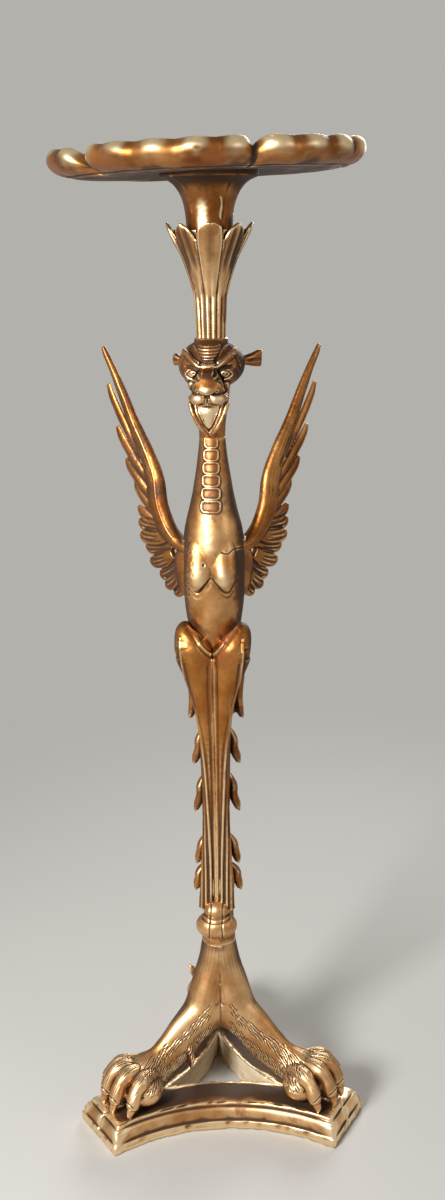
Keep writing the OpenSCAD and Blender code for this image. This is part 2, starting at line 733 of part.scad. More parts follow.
module dish() {
    color(gilt) translate([0, 0, dish_z]) rotate([0, -dish_lean, 0]) difference() {
        carved() rotate(petal_turn - 90) skin([for (p = dish_section)
            [for (j = [0:dish_sides - 1])
                let (a = 360 * j / dish_sides, b = a + petal_turn - 90,
                     edge = max(0, p[0] - 0.85) / 0.15,
                     r = dish_r * p[0] * mix(1, petal(b), p[2]) - 3 * edge * (1 - knuckle(b)))
                [r * cos(a), r * sin(a), p[1] - 1.5 * edge * (1 - knuckle(b))]]]);
        peg(dish_tenon_r + dowel_gap, -1, dish_tenon_len + 1);
    }
}

board(0);  // plinth_front
board(120);  // plinth_rear_right
board(240);  // plinth_rear_left
plinth_dowels();
leg(330);  // leg_front_right
leg(90, true);  // leg_rear
leg(210);  // leg_front_left
leg_screws();
axis_dowel(hub_z, hub_dowel_len);  // hub_dowel
column();
bud();
knee(-1);  // knee_left
knee(1);  // knee_right
seated_curl() upper_curl_skin();  // tail_curl_upper
seated_curl() lower_curl_skin();  // tail_curl_lower
husk(0);  // husk_1
husk(1);  // husk_2
husk(2);  // husk_3
husk(3);  // husk_4
husk(4);  // husk_5
axis_dowel(belly_z, waist_dowel_len);  // waist_dowel
torso();
wing(-1);  // wing_left
wing(1);  // wing_right
color(raw_wood) wing_dowel_places() wing_dowel();  // wing_dowels
axis_dowel(throat_z, neck_dowel_len);  // neck_dowel
head();
ear(-1, head_w + 8, 8);  // ear_left
ear(1, head_w + 18, 9);  // ear_right
axis_dowel(crown_z, crown_dowel_len);  // crown_dowel
calyx();
flared_neck();
dish();
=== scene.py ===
# %% [markdown]
# # A carved and gilded griffin stand for a vase
# The real stand is softwood, carved with gouges, coated with gesso and red-brown clay (bole),
# then leafed with gold and burnished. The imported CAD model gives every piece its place. Here
# each carved piece is shaped again more finely, cut with the same kinds of stroke that a
# carver makes, and given its worn gold.

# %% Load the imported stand
import math
import bmesh
import bpy
import numpy as np
from mathutils import Matrix, Vector


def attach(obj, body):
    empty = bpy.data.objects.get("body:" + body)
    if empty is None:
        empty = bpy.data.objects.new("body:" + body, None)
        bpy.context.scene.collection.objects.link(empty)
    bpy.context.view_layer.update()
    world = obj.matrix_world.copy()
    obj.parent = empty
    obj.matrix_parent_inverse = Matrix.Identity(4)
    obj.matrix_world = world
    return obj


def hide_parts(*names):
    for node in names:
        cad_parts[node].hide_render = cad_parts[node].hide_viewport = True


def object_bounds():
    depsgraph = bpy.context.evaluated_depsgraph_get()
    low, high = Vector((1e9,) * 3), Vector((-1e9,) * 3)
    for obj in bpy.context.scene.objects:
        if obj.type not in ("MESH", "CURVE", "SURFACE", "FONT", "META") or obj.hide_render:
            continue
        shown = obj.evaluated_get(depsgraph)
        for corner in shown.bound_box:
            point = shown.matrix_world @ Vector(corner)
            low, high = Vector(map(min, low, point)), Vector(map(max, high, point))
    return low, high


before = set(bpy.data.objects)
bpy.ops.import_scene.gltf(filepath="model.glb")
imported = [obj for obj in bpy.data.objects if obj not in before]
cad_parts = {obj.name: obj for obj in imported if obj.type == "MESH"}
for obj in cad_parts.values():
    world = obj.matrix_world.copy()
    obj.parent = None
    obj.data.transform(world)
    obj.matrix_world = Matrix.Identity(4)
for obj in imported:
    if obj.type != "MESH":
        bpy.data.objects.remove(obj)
cad_box = [list(corner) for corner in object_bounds()]
print("CAD box in metres:", cad_box)

# %% [markdown]
# ## Camera
# The photograph is taken by hand at the height of the griffin's throat, from a metre and a
# half away, looking down a little. A vertical sensor fit keeps the lens right for a tall,
# narrow picture.

# %% Camera
eye = Vector((0, -1.497, 1.067))
look_down = math.radians(15.6)
tilt = math.radians(-0.75)
picture_h, shift_px = 1200, 8
camera_data = bpy.data.cameras.new("camera")
camera_data.sensor_fit = "VERTICAL"
camera_data.sensor_height = 24
camera_data.lens = 27.0
camera_data.shift_x = shift_px / picture_h
camera = bpy.data.objects.new("camera", camera_data)
camera.matrix_world = (Matrix.Translation(eye)
                       @ Matrix.Rotation(math.pi / 2 - look_down, 4, "X")
                       @ Matrix.Rotation(tilt, 4, "Z"))
bpy.context.collection.objects.link(camera)
bpy.context.scene.camera = camera
print("Camera", round(eye.length, 2), "m from the origin")

# %% [markdown]
# ## Node trees
# The surround and every finish are trees of shader nodes. Sums are written as Python
# expressions: a Signal stands for a socket, and adding or multiplying Signals adds the Math
# nodes. Any other node comes from one method, which is told its type, settings and inputs.

# %% Arithmetic on shader sockets
def feed(tree, socket, value):
    if isinstance(value, Signal):
        tree.links.new(value.socket, socket)
    else:
        socket.default_value = value

class Signal:
    """A shader socket that does arithmetic."""
    def __init__(self, tree, socket):
        self.tree = tree
        self.socket = socket

    def math(self, operation, *values):
        node = self.tree.nodes.new("ShaderNodeMath")
        node.operation = operation
        for socket, value in zip(node.inputs, values):
            feed(self.tree, socket, value)
        return Signal(self.tree, node.outputs[0])

    def __add__(self, other):
        return self.math("ADD", self, other)

    def __radd__(self, other):
        return self.math("ADD", other, self)

    def __sub__(self, other):
        return self.math("SUBTRACT", self, other)

    def __rsub__(self, other):
        return self.math("SUBTRACT", other, self)

    def __mul__(self, other):
        return self.math("MULTIPLY", self, other)

    def __rmul__(self, other):
        return self.math("MULTIPLY", other, self)

# %% Trees and finishes
class Nodes:
    """A node tree and short names for the nodes that it needs."""
    def __init__(self, tree):
        self.tree = tree

    def node(self, kind, settings, inputs, output=0):
        """Adds a node, sets it up, then feeds its sockets, by name or by number."""
        node = self.tree.nodes.new(kind)
        for name, value in settings.items():
            setattr(node, name, value)
        for name, value in inputs.items():
            feed(self.tree, node.inputs[name], value)
        return Signal(self.tree, node.outputs[output])

    def place(self):
        return self.node("ShaderNodeTexCoord", {}, {}, "Object")

    def noise(self, scale, detail=4, roughness=0.6, stretch=(1, 1, 1)):
        spot = self.node("ShaderNodeMapping", {}, {"Vector": self.place(), "Scale": stretch})
        return self.node("ShaderNodeTexNoise", {}, {
            "Vector": spot, "Scale": scale, "Detail": detail, "Roughness": roughness})

    def length(self, vector):
        return self.node("ShaderNodeVectorMath", {"operation": "LENGTH"}, {0: vector}, 1)

    def painted(self, name):
        return self.node("ShaderNodeAttribute", {"attribute_name": name}, {}, "Fac")

    def step(self, value, low, high):
        return self.node("ShaderNodeMapRange", {"interpolation_type": "SMOOTHSTEP"}, {
            "Value": value, "From Min": low, "From Max": high})

    def blend(self, share, first, second):
        return self.node("ShaderNodeMix", {"data_type": "RGBA"}, {
            0: share, 6: first, 7: second}, 2)

    def bump(self, height, strength, distance):
        return self.node("ShaderNodeBump", {}, {
            "Height": height, "Strength": strength, "Distance": distance})

class Finish(Nodes):
    """One material: a Principled shader and the nodes that feed it."""
    def __init__(self, name):
        self.material = bpy.data.materials.new(name)
        self.material.use_nodes = True
        super().__init__(self.material.node_tree)
        self.shader = self.tree.nodes["Principled BSDF"]

    def set(self, **inputs):
        for name, value in inputs.items():
            feed(self.tree, self.shader.inputs[name.replace("_", " ").title()], value)
        return self.material

# %% [markdown]
# ## Light
# Burnished gold shows what is around it, so the studio is simple: one soft lamp at the front
# left, as in the photograph, a weak fill from the right and one behind that parts the figure
# from the wall. The camera and the gold's reflections see a pale grey wall, while the wood is
# lit by a darker one, so that the hollows stay deep.

# %% Lamps and surround
scene = bpy.context.scene
scene.view_settings.view_transform = "Standard"

def soft_lamp(name, place, aim, size, watts):
    light = bpy.data.lights.new(name, "AREA")
    light.size = size
    light.energy = watts
    lamp = bpy.data.objects.new(name, light)
    lamp.location = place
    lamp.rotation_euler = (Vector(aim) - Vector(place)).to_track_quat("-Z", "Y").to_euler()
    bpy.context.collection.objects.link(lamp)
    print(name, watts, "W")

soft_lamp("key_lamp", (-0.95, -1.35, 1.25), (0, 0, 0.6), 0.5, 45)
soft_lamp("fill_lamp", (1.5, -1.0, 1.3), (0, 0, 0.5), 0.9, 3)
soft_lamp("back_lamp", (0.5, 1.5, 1.4), (0, 0, 0.6), 0.8, 18)
surround = bpy.data.worlds.new("surround")
surround.use_nodes = True
backdrop = Nodes(surround.node_tree)
seen, mirrored, shone_through = [
    backdrop.node("ShaderNodeLightPath", {}, {}, ray)
    for ray in ("Is Camera Ray", "Is Glossy Ray", "Is Transmission Ray")]
dim_wall, pale_wall = (0.17, 0.155, 0.135, 1), (0.45, 0.44, 0.415, 1)
tone = backdrop.blend(seen + mirrored + shone_through, dim_wall, pale_wall)
feed(backdrop.tree, backdrop.tree.nodes["Background"].inputs["Color"], tone)
scene.world = surround

# %% [markdown]
# ## Old water gilding
# The leaf is a warm coppery gold. Where hands rubbed it the red-brown bole shows, in the
# hollows sits dark wax and dust, and on the edges the gold has gone down to pale gesso.
# Painted shade darkens the hollows and the parts turned from the front, and a painted
# highlight lightens the edges. The pieces carry those places as painted attributes,
# measured from their own surface, and noise breaks them up.

# %% Gilding
# A pale cream painted highlight for edges; the red wax and dark grime colours also paint shade
edge_highlight = (0.98, 0.78, 0.48, 1)
red_wax_and_shade = (0.13, 0.042, 0.009, 1)
red_bole = (0.27, 0.085, 0.018, 1)
dark_grime_and_shade = (0.045, 0.022, 0.010, 1)
pale_gesso = (0.80, 0.62, 0.40, 1)

def gilding(name, gold, pale, rub=0.0, grime_and_shade=1.0):
    """Leaf in two tones; rub bares the bole, and grime darkens the hollows with wax, dirt and
    painted shade.
    """
    finish = Finish(name)
    hollow = finish.painted("hollow")
    edge = finish.painted("edge")
    bole = finish.painted("bole")
    clouds = finish.noise(16, 5)
    mottle = finish.noise(70, 6, 0.7)
    specks = finish.noise(420, 4, 0.7)
    leaf = finish.blend(finish.step(clouds, 0.35, 0.68), gold, pale)
    # Painted highlight: the edges are lightened towards pale cream
    leaf = finish.blend(0.8 * finish.step(edge, 0.25, 0.95), leaf, edge_highlight)
    # Thin wax, with painted shade, reddens the gold in the hollows and on the parts turned from the
    # front
    leaf = finish.blend(0.8 * finish.step(grime_and_shade * hollow, 0.06, 0.6), leaf, red_wax_and_shade)
    rubbed = finish.step(mottle + 0.35 * clouds + 0.5 * bole + rub, 0.86, 1.08)
    colour = finish.blend(0.75 * rubbed, leaf, red_bole)
    # Dark grime, with painted shade, gathers in the hollows and on the parts turned from the front
    grime_and_shade_at = finish.step(grime_and_shade * hollow + 0.35 * mottle + 0.12 * specks, 0.4, 1.05)
    colour = finish.blend(0.9 * grime_and_shade_at, colour, dark_grime_and_shade)
    gesso = finish.step(edge + 0.75 * mottle + 0.35 * specks, 1.62, 1.7)
    colour = finish.blend(gesso, colour, pale_gesso)
    metal = (1 - 0.7 * grime_and_shade_at) * (1 - 0.85 * gesso) * (1 - 0.35 * rubbed)
    return finish.set(
        base_color=colour, metallic=metal,
        roughness=0.33 + 0.12 * mottle + 0.25 * grime_and_shade_at + 0.2 * gesso,
        normal=finish.bump(0.6 * specks + mottle, 0.35, 0.0004))

gold_leaf = gilding("gold_leaf", (0.45, 0.185, 0.05, 1), (0.84, 0.50, 0.22, 1))
deep_gold = gilding("deep_gold", (0.25, 0.085, 0.018, 1), (0.55, 0.25, 0.08, 1), 0.04, 1.1)
copper_gold = gilding("copper_gold", (0.36, 0.125, 0.022, 1), (0.62, 0.29, 0.085, 1), 0.02)
bright_gold = gilding("bright_gold", (0.48, 0.22, 0.07, 1), (0.86, 0.55, 0.28, 1), -0.02)
print("Gilding in four strengths")

# %% [markdown]
# ## Bare wood and steel
# The wall of the plinth's opening was sawn and never gilded. The dowels and screws lie inside
# the stand and are seen only when it is taken apart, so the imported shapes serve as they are.

# %% Bare wood and steel
def bare_wood(name, tone):
    """Softwood with upright grain and short pores."""
    finish = Finish(name)
    grain = finish.noise(30, 5, 0.6, (1, 1, 9))
    pores = finish.noise(300, 3, 0.6, (1, 1, 0.15))
    colour = finish.blend(0.6 * finish.step(grain, 0.35, 0.75), tone, (0.50, 0.34, 0.19, 1))
    colour = finish.blend(0.35 * finish.step(pores, 0.52, 0.7), colour, (0.2, 0.11, 0.05, 1))
    return finish.set(base_color=colour, roughness=0.75 + 0.15 * grain,
                      normal=finish.bump(pores + grain, 0.5, 0.0005))

def old_steel(name):
    """Grey steel with patches of rust."""
    finish = Finish(name)
    rust = finish.step(finish.noise(200, 5, 0.7), 0.45, 0.7)
    colour = finish.blend(rust, (0.35, 0.34, 0.33, 1), (0.16, 0.07, 0.03, 1))
    return finish.set(base_color=colour, metallic=1 - 0.8 * rust, roughness=0.35 + 0.4 * rust)

sawn_wood = bare_wood("sawn_wood", (0.78, 0.64, 0.44, 1))
dowel_wood = bare_wood("dowel_wood", (0.55, 0.40, 0.24, 1))
screw_steel = old_steel("screw_steel")
for node_name, node_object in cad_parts.items():
    if "dowel" in node_name or "screw" in node_name:
        node_object.data.materials.clear()
        node_object.data.materials.append(screw_steel if "screw" in node_name else dowel_wood)
        print(node_name, "keeps its shape and is", node_object.active_material.name)

# %% [markdown]
# ## Shapes from bent grids
# All pieces are drawn in millimetres and scaled to metres at the end. A flat grid is bent
# into a limb, a ring or a bowl: each of its points says how far along and how far round it
# is, so a short formula gives the form. Closed forms are then fused by a voxel remesh, so
# that they run into each other as they do in one carved block.

# %% Splines and bent grids
def mix(a, b, share):
    return a + (b - a) * share

def about_z(degrees):
    return Matrix.Rotation(math.radians(degrees), 4, "Z")

def add_turned(bm, part, turn):
    """Turns a part about the upright axis, in degrees, and adds it to bm."""
    part.transform(about_z(turn))
    shape = bpy.data.meshes.new("part")
    part.to_mesh(shape)
    part.free()
    bm.from_mesh(shape)
    bpy.data.meshes.remove(shape)

def spline(stations, share):
    """Smooth curve through the stations, for a share from 0 to 1."""
    stations = np.asarray(stations, float)
    last = len(stations) - 1
    spot = min(max(share, 0), 1) * last
    i = min(int(spot), last - 1)
    u = spot - i
    a, b = stations[max(i - 1, 0)], stations[i]
    c, d = stations[i + 1], stations[min(i + 2, last)]
    return b + u * ((c - a) / 2 + u * ((2 * a - 5 * b + 4 * c - d) / 2
                                       + u * (3 * b - 3 * c + d - a) / 2))

def curve(stations, count=24):
    """Points along the spline, evenly shared out."""
    return np.array([spline(stations, i / (count - 1)) for i in range(count)])

def bend(bm, rows, columns, place):
    """A grid bent into a form, closed at its seam and its ends."""
    verts = bmesh.ops.create_grid(bm, x_segments=rows, y_segments=columns, size=1)["verts"]
    for v in verts:
        v.co = place(v.co.x / 2 + 0.5, v.co.y / 2 + 0.5)
    bmesh.ops.remove_doubles(bm, verts=verts, dist=1e-4)
    bmesh.ops.holes_fill(bm, edges=[e for e in bm.edges if e.is_boundary])

def limb(bm, stations, steps=24, sides=18, across=(0, 1, 0)):
    """Rounded limb through stations (x, y, z, half width, half depth)."""
    across = Vector(across)

    def place(along, around):
        p = spline(stations, along)
        way = Vector((spline(stations, along + 0.01) - spline(stations, along - 0.01))[:3])
        up = way.cross(across).normalized()
        out = up.cross(way).normalized()
        a = 2 * math.pi * around
        return Vector(p[:3]) + out * p[3] * math.cos(a) + up * p[4] * math.sin(a)

    bend(bm, steps, sides, place)

def ball(bm, at, half):
    """Ball with three half sizes."""
    shape = Matrix.Translation(at) @ Matrix.Diagonal((*half, 1))
    bmesh.ops.create_uvsphere(bm, u_segments=28, v_segments=18, radius=1, matrix=shape)

# %% Noise and distance for the carving strokes
def lumps(points, size, seed=0):
    """Smooth noise from -1 to 1, in lumps about size across."""
    spot = points / size + 17.3 * seed
    cell = np.floor(spot).astype(np.int64)
    share = spot - cell
    share = share * share * (3 - 2 * share)
    total = np.zeros(len(points))
    for corner in np.ndindex(2, 2, 2):
        c = cell + corner
        key = (c[:, 0] * 73856093) ^ (c[:, 1] * 19349663) ^ (c[:, 2] * 83492791)
        key = (key * 1103515245 + 12345) & 0x7FFFFFFF
        weight = np.where(corner, share, 1 - share).prod(1)
        total += weight * ((key >> 8 & 0xFFFF) / 32767.5 - 1)
    return total

def smooth_step(value, low, high):
    """0 up to low, 1 from high on, and a smooth ramp between."""
    share = np.clip((value - low) / (high - low), 0, 1)
    return share * share * (3 - 2 * share)

def patches(points, size, seed, low, high):
    """Blotches from 0 to 1 where the lumps rise from low to high."""
    return smooth_step(lumps(points, size, seed), low, high)

def bell(off, wide, off_too=0, wide_too=1):
    """1 where nothing is off, and less and less within about the width."""
    return np.exp(-((off / wide) ** 2 + (off_too / wide_too) ** 2))

def ripples(angle):
    """A round wave between 0 and 1, as side by side reeds have."""
    return 0.5 + 0.5 * np.cos(angle)

def distance(points, path):
    """Distance from each point to a path, and how far along it the nearest spot is."""
    start, way = path[:-1], path[1:] - path[:-1]
    share = ((points[:, None] - start) * way).sum(2) / ((way * way).sum(1) + 1e-12)
    share = np.clip(share, 0, 1)
    apart = np.linalg.norm(start + share[..., None] * way - points[:, None], axis=2)
    nearest = apart.argmin(1)
    rows = np.arange(len(points))
    return apart[rows, nearest], (nearest + share[rows, nearest]) / len(way)

# %% [markdown]
# ## The carving bench
# A Carving holds one closed piece as arrays of points. Strokes add up in `depth`, which is
# how far each point is cut back along its normal, so a groove is positive and a bead
# negative. At the end the surface itself tells where wax gathers (hollows) and where gold
# rubs off (edges); painted shade is added to the hollows and painted highlight to the edges.

# %% Carving bench
MM = 0.001

def read_rows(items, name, columns, kind=float):
    """One property of all the items, as an array with a row for each."""
    rows = np.empty(len(items) * columns, kind)
    items.foreach_get(name, rows)
    return rows.reshape(-1, columns)

def settle(values, edges, rounds):
    """Each point moves half way to the mean of its neighbours, again and again."""
    flat = values.reshape(len(values), -1)
    to, source = np.concatenate([edges, edges[:, ::-1]]).T
    count = np.maximum(np.bincount(to, minlength=len(flat)), 1)
    for _ in range(rounds):
        total = [np.bincount(to, column[source], len(flat)) / count for column in flat.T]
        flat = 0.5 * flat + 0.5 * np.stack(total, axis=1)
    return flat.reshape(values.shape)

# Nothing reaches outside the solids' own box
room = np.array(cad_box) / MM + ((0.02,) * 3, (-0.02,) * 3)

class Carving:
    """One closed piece on the bench: its object, and arrays of its points."""
    def __init__(self, name, bm, grain=1.2, rounds=4, turn=0):
        bmesh.ops.recalc_face_normals(bm, faces=bm.faces)
        mesh = bpy.data.meshes.new(name)
        bm.to_mesh(mesh)
        bm.free()
        self.piece = bpy.data.objects.new(name, mesh)
        bpy.context.collection.objects.link(self.piece)
        if grain:
            remesh = self.piece.modifiers.new("Remesh", "REMESH")
            remesh.mode = "VOXEL"
            remesh.voxel_size = grain
            relax = self.piece.modifiers.new("Smooth", "SMOOTH")
            relax.factor = 0.5
            relax.iterations = rounds
            depsgraph = bpy.context.evaluated_depsgraph_get()
            fused = bpy.data.meshes.new_from_object(self.piece.evaluated_get(depsgraph))
            self.piece.modifiers.clear()
            self.piece.data = fused
        self.read(turn)

    def read(self, turn):
        """Reads the points, also in the frame of a piece that faces the turn."""
        mesh = self.piece.data
        self.at = read_rows(mesh.vertices, "co", 3)
        self.out = read_rows(mesh.vertex_normals, "vector", 3)
        self.edges = read_rows(mesh.edges, "vertices", 2, np.int64)
        c, s = math.cos(math.radians(-turn)), math.sin(math.radians(-turn))
        spin = np.array([[c, s, 0], [-s, c, 0], [0, 0, 1]])
        self.local = self.at @ spin
        self.facing = self.out @ spin
        self.depth, self.bole, self.soil, self.highlight_and_wear = np.zeros((4, len(self.at)))

    def front(self, sharp=3):
        """Share with which a point faces the front, from 0 to 1."""
        return np.clip(-self.facing[:, 1] * sharp, 0, 1)

    def stroke(self, spots, path, width, depth, keep=1.0, taper=False):
        """A gouge stroke (or a bead, with a negative depth) along a path over the spots."""
        path = np.asarray(path, float)
        inside = ((spots > path.min(0) - width) & (spots < path.max(0) + width)).all(1)
        if not inside.any():
            return
        apart, along = distance(spots[inside], path)
        reach = width * np.sqrt(np.sin(np.pi * along) + 0.02) if taper else width
        cut = depth * np.clip(1 - (apart / reach) ** 2, 0, 1) ** 2
        if taper:
            cut = cut * np.sqrt(np.sin(np.pi * along))
        self.depth[inside] += cut * (keep if np.isscalar(keep) else keep[inside])

    def finish(self, material, node, relief=1.0):
        """Cuts the strokes, paints hollows with painted shade and edges with painted highlights,
        attaches the piece to the root body and hides its CAD part.
        """
        mesh = self.piece.data
        # Painted shade: points that turn sideways, away from the front, get darker, and those that
        # face the back a little less so
        self.soil += 0.55 * smooth_step(self.out[:, 1], -0.85, 0.0)
        self.soil -= 0.25 * smooth_step(self.out[:, 1], 0.2, 0.8)
        self.at -= self.out * self.depth[:, None]
        self.at = np.clip(self.at, room[0], room[1])
        near = settle(self.at, self.edges, 2)
        wide = settle(near, self.edges, 14)
        fine = ((near - self.at) * self.out).sum(1)
        broad = ((wide - near) * self.out).sum(1)
        fine = settle(fine, self.edges, 1)
        # The hollows take the painted shade, and the edges take the painted highlights
        hollow = np.clip((fine * 5 + broad * 1.1) * relief + self.soil, 0, 1)
        edge = np.clip((-fine * 6 - broad * 0.8) * relief + self.highlight_and_wear, 0, 1)
        mesh.vertices.foreach_set("co", (self.at * MM).ravel())
        for name, values in [("hollow", hollow), ("edge", edge), ("bole", self.bole)]:
            layer = mesh.attributes.new(name, "FLOAT", "POINT")
            layer.data.foreach_set("value", values)
        mesh.polygons.foreach_set("use_smooth", np.ones(len(mesh.polygons), bool))
        mesh.update()
        mesh.materials.clear()
        for finish in material if isinstance(material, tuple) else (material,):
            mesh.materials.append(finish)
        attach(self.piece, "root")
        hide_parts(node)
        print(self.piece.name, len(mesh.vertices), "points")
        return self.piece

# %% [markdown]
# ## Plinth
# Three boards with hollow sides, mitred at the cut-off corners and moulded along the edge.
# The cross-section of the moulding travels round the plan as a bent grid, and the whole ring
# is then sawn through its three mitres with bisect_plane.

# %% Plan and section of the plinth
base_turn = 2
plinth_reach, plinth_waist, plinth_flat, plinth_h = 176, 82, 88, 32
fascia_h, lip_h = 11, 5
side_x = plinth_reach * math.cos(math.pi / 6) - plinth_flat / 4
side_sag = plinth_reach / 2 + plinth_flat / 2 * math.cos(math.pi / 6) - plinth_waist
side_r = (side_x ** 2 + side_sag ** 2) / (2 * side_sag)
side_share = 0.72
print("The plinth's sides bow inwards with a radius of", round(side_r), "mm")

def turned(x, y, degrees):
    """A point in plan, turned about the axis."""
    c, s = math.cos(math.radians(degrees)), math.sin(math.radians(degrees))
    return np.array([x * c - y * s, x * s + y * c])

def corner_x(inset):
    """Half width of a side where its hollow meets the cut-off corner."""
    low, high = 60, side_x + 5
    for _ in range(30):
        x = (low + high) / 2
        y = -plinth_waist - side_r + math.sqrt((side_r + inset) ** 2 - x * x)
        reach = x * math.cos(math.pi / 6) - y * 0.5
        low, high = (x, high) if reach < plinth_reach - inset else (low, x)
    return x

def plan(share, inset):
    """Point of the plinth's outline, from one mitre to the next in three equal shares."""
    third = int(share * 3) % 3
    spot = share * 3 - int(share * 3)
    half = corner_xs[inset]
    end = np.array([half, -plinth_waist - side_r + math.sqrt((side_r + inset) ** 2 - half ** 2)])
    edge = (1 - side_share) / 2
    if edge < spot < 1 - edge:
        x = mix(-half, half, (spot - edge) / side_share)
        point = np.array([x, -plinth_waist - side_r + math.sqrt((side_r + inset) ** 2 - x * x)])
    else:
        side = 1 if spot > 0.5 else -1
        from_mitre = (1 - spot if spot > 0.5 else spot) / edge
        mitre = (plinth_reach - inset) * np.array([side * math.cos(math.pi / 6), -0.5])
        point = mix(mitre, end * (side, 1), from_mitre)
    return turned(*point, 120 * third + base_turn)

opening_in, opening_r = 30, 260
bow = opening_in + opening_r
opening_reach = (bow - math.sqrt(bow ** 2 - 4 * (bow ** 2 - opening_r ** 2))) / 2

def opening(share):
    """Point of the opening, whose three sides bow inwards like the outer ones."""
    third = int(share * 3) % 3
    spot = share * 3 - int(share * 3)
    x = mix(-1, 1, spot) * opening_reach * math.cos(math.pi / 6)
    return turned(x, math.sqrt(opening_r ** 2 - x * x) - bow, 120 * third + base_turn)

section = ([(0, 0.6), (0, 3), (0, 6), (0, fascia_h - 0.8), (0.5, fascia_h), (1.4, fascia_h + 0.5),
            (2.0, fascia_h + 1.4)]
           + [(mix(2, 7.6, 1 - math.cos(a)), mix(fascia_h + 1.4, plinth_h - lip_h, math.sin(a)))
              for a in np.radians(range(12, 85, 9))]
           + [(7.6, plinth_h - lip_h), (8.6, plinth_h - lip_h + 0.4), (9, plinth_h - lip_h + 1.2),
              (9, plinth_h - 2.5), (9.2, plinth_h - 1), (10, plinth_h - 0.2)])
corner_xs = {inset: corner_x(inset) for inset, height in section}
top_rows, wall_rows, floor_rows = 16, 10, 6

def plinth_point(around, up):
    """The closed section: up the moulding, over the top, down the opening and back below."""
    rows = len(section) + top_rows + wall_rows + floor_rows
    row = int(round(up * rows)) % rows
    if row < len(section):
        inset, height = section[row]
        return Vector((*plan(around, inset), height))
    row -= len(section)
    inner = opening(around)
    if row < top_rows:
        point = mix(plan(around, section[-1][0]), inner, (row + 1) / top_rows)
        return Vector((*point, plinth_h))
    row -= top_rows
    if row < wall_rows:
        return Vector((*inner, mix(plinth_h, 0, (row + 1) / wall_rows)))
    point = mix(inner, plan(around, 0), (row - wall_rows + 1) / (floor_rows + 1))
    return Vector((*point, 0))

# %% Saw and chips
def halve(bm, point, normal):
    """Cuts away what lies on the normal's side and closes the cut."""
    cut = bmesh.ops.bisect_plane(bm, geom=bm.verts[:] + bm.edges[:] + bm.faces[:],
                                 plane_co=point, plane_no=normal, clear_outer=True)
    rim = [e for e in cut["geom_cut"] if isinstance(e, bmesh.types.BMEdge)]
    bmesh.ops.holes_fill(bm, edges=rim)

def wedge(bm, turn, half_angle, gap=0.05):
    """Keeps a wedge about the axis whose middle faces the turn, in degrees."""
    for side in (-1, 1):
        a = math.radians(turn + side * (half_angle + 90))
        normal = Vector((math.cos(a), math.sin(a), 0))
        halve(bm, normal * -gap, normal)

def edge_chips(carving, size, share, deep):
    """Breaks small chips out of the sharp edges."""
    rough = lumps(carving.at, size, 5) + 0.5 * lumps(carving.at, size / 2.5, 6)
    near = settle(carving.at, carving.edges, 3)
    sharp = smooth_step(-((near - carving.at) * carving.out).sum(1), 0.12, 0.4)
    carving.depth += deep * sharp * smooth_step(rough, share, share + 0.3)

# %% Three boards
streak_in = 17
for board_name, board_turn in [("plinth_front", 270), ("plinth_rear_right", 30),
                               ("plinth_rear_left", 150)]:
    bm = bmesh.new()
    bend(bm, 3 * 66, len(section) + top_rows + wall_rows + floor_rows, plinth_point)
    wedge(bm, board_turn + base_turn, 60)
    board = Carving("carved_" + board_name, bm, grain=None, turn=base_turn)
    board.depth += 0.35 * lumps(board.at, 26, 1) + 0.18 * lumps(board.at, 7, 2)
    edge_chips(board, 5, 0.15, 1.6)
    x, y, z = board.at.T
    a = math.radians(board_turn + base_turn)
    out = x * math.cos(a) + y * math.sin(a)
    across = y * math.cos(a) - x * math.sin(a)
    wall = np.abs(np.hypot(bow - out, across) - opening_r) < 1.2
    # Dust and painted shade darken the top, the lower fascia is darker, and one streak near the
    # front edge is rubbed to the bole
    top = smooth_step(z, plinth_h - 2, plinth_h - 0.5)
    streak = bell(plinth_waist + across ** 2 / (2 * side_r) - streak_in - out, 6)
    streak = streak * (1 - smooth_step(np.abs(across), 38, 62))
    board.soil = top * (0.42 + 0.25 * lumps(board.at, 16, 9)) * (1 - 0.85 * streak)
    board.soil += 0.22 * (z < fascia_h) * (0.6 + lumps(board.at, 20, 4))
    board.bole = 0.5 * patches(board.at, 22, 3, 0.0, 0.7) + 1.1 * top * streak
    piece = board.finish((bright_gold, sawn_wood), board_name, relief=0.6)
    # The wall of the opening is bare wood
    for face in piece.data.polygons:
        face.material_index = int(all(wall[v] for v in face.vertices))

# %% [markdown]
# ## Lion legs
# The three legs grow out of one hub, so they are fused as one body, smoothed, and then sawn
# apart on the planes between them: the saw cuts are the thin glue lines seen in the hub. Each
# paw clutches a ball with four toes, and fur is cut along both edges of the leg.

# %% Leg forms
leg_h, hub_r, ball_reach, ball_r, ankle_w = 183, 20.5, 119, 26, 14
hub_z = plinth_h + leg_h
# Each side of a paw has two toes: how far aside, ahead of the ball, high in balls, and wide
toes = [(11.5, 43, 1.75, 0.64), (31, 31, 1.6, 0.62)]

def leg_z(share):
    return plinth_h + leg_h * share

def toe(bm, side, reach, rise, wide):
    """Two knuckles and a claw that hooks down to the plinth."""
    z = plinth_h
    limb(bm, [(reach - 50, side * 0.3, z + rise - 8, wide, wide),
              (reach - 36, side * 0.55, z + rise - 1, wide * 1.02, wide),
              (reach - 22, side * 0.8, z + rise - 1.5, wide * 1.15, wide * 1.15),
              (reach - 12, side * 0.93, z + rise * 0.8, wide * 0.9, wide * 0.92),
              (reach - 7, side, z + rise * 0.56, wide * 1.02, wide),
              (reach - 5, side, z + rise * 0.36, wide * 0.8, wide * 0.8)], 22, 16)
    limb(bm, [(reach - 9, side, z + rise * 0.5, wide * 0.5, wide * 0.5),
              (reach - 4.5, side, z + rise * 0.36, wide * 0.58, wide * 0.62),
              (reach - 1.5, side, z + rise * 0.18, wide * 0.42, wide * 0.5),
              (reach - 1.5, side, z + 3, wide * 0.2, wide * 0.25),
              (reach - 3, side, z, 0.8, 0.8)], 14, 12)

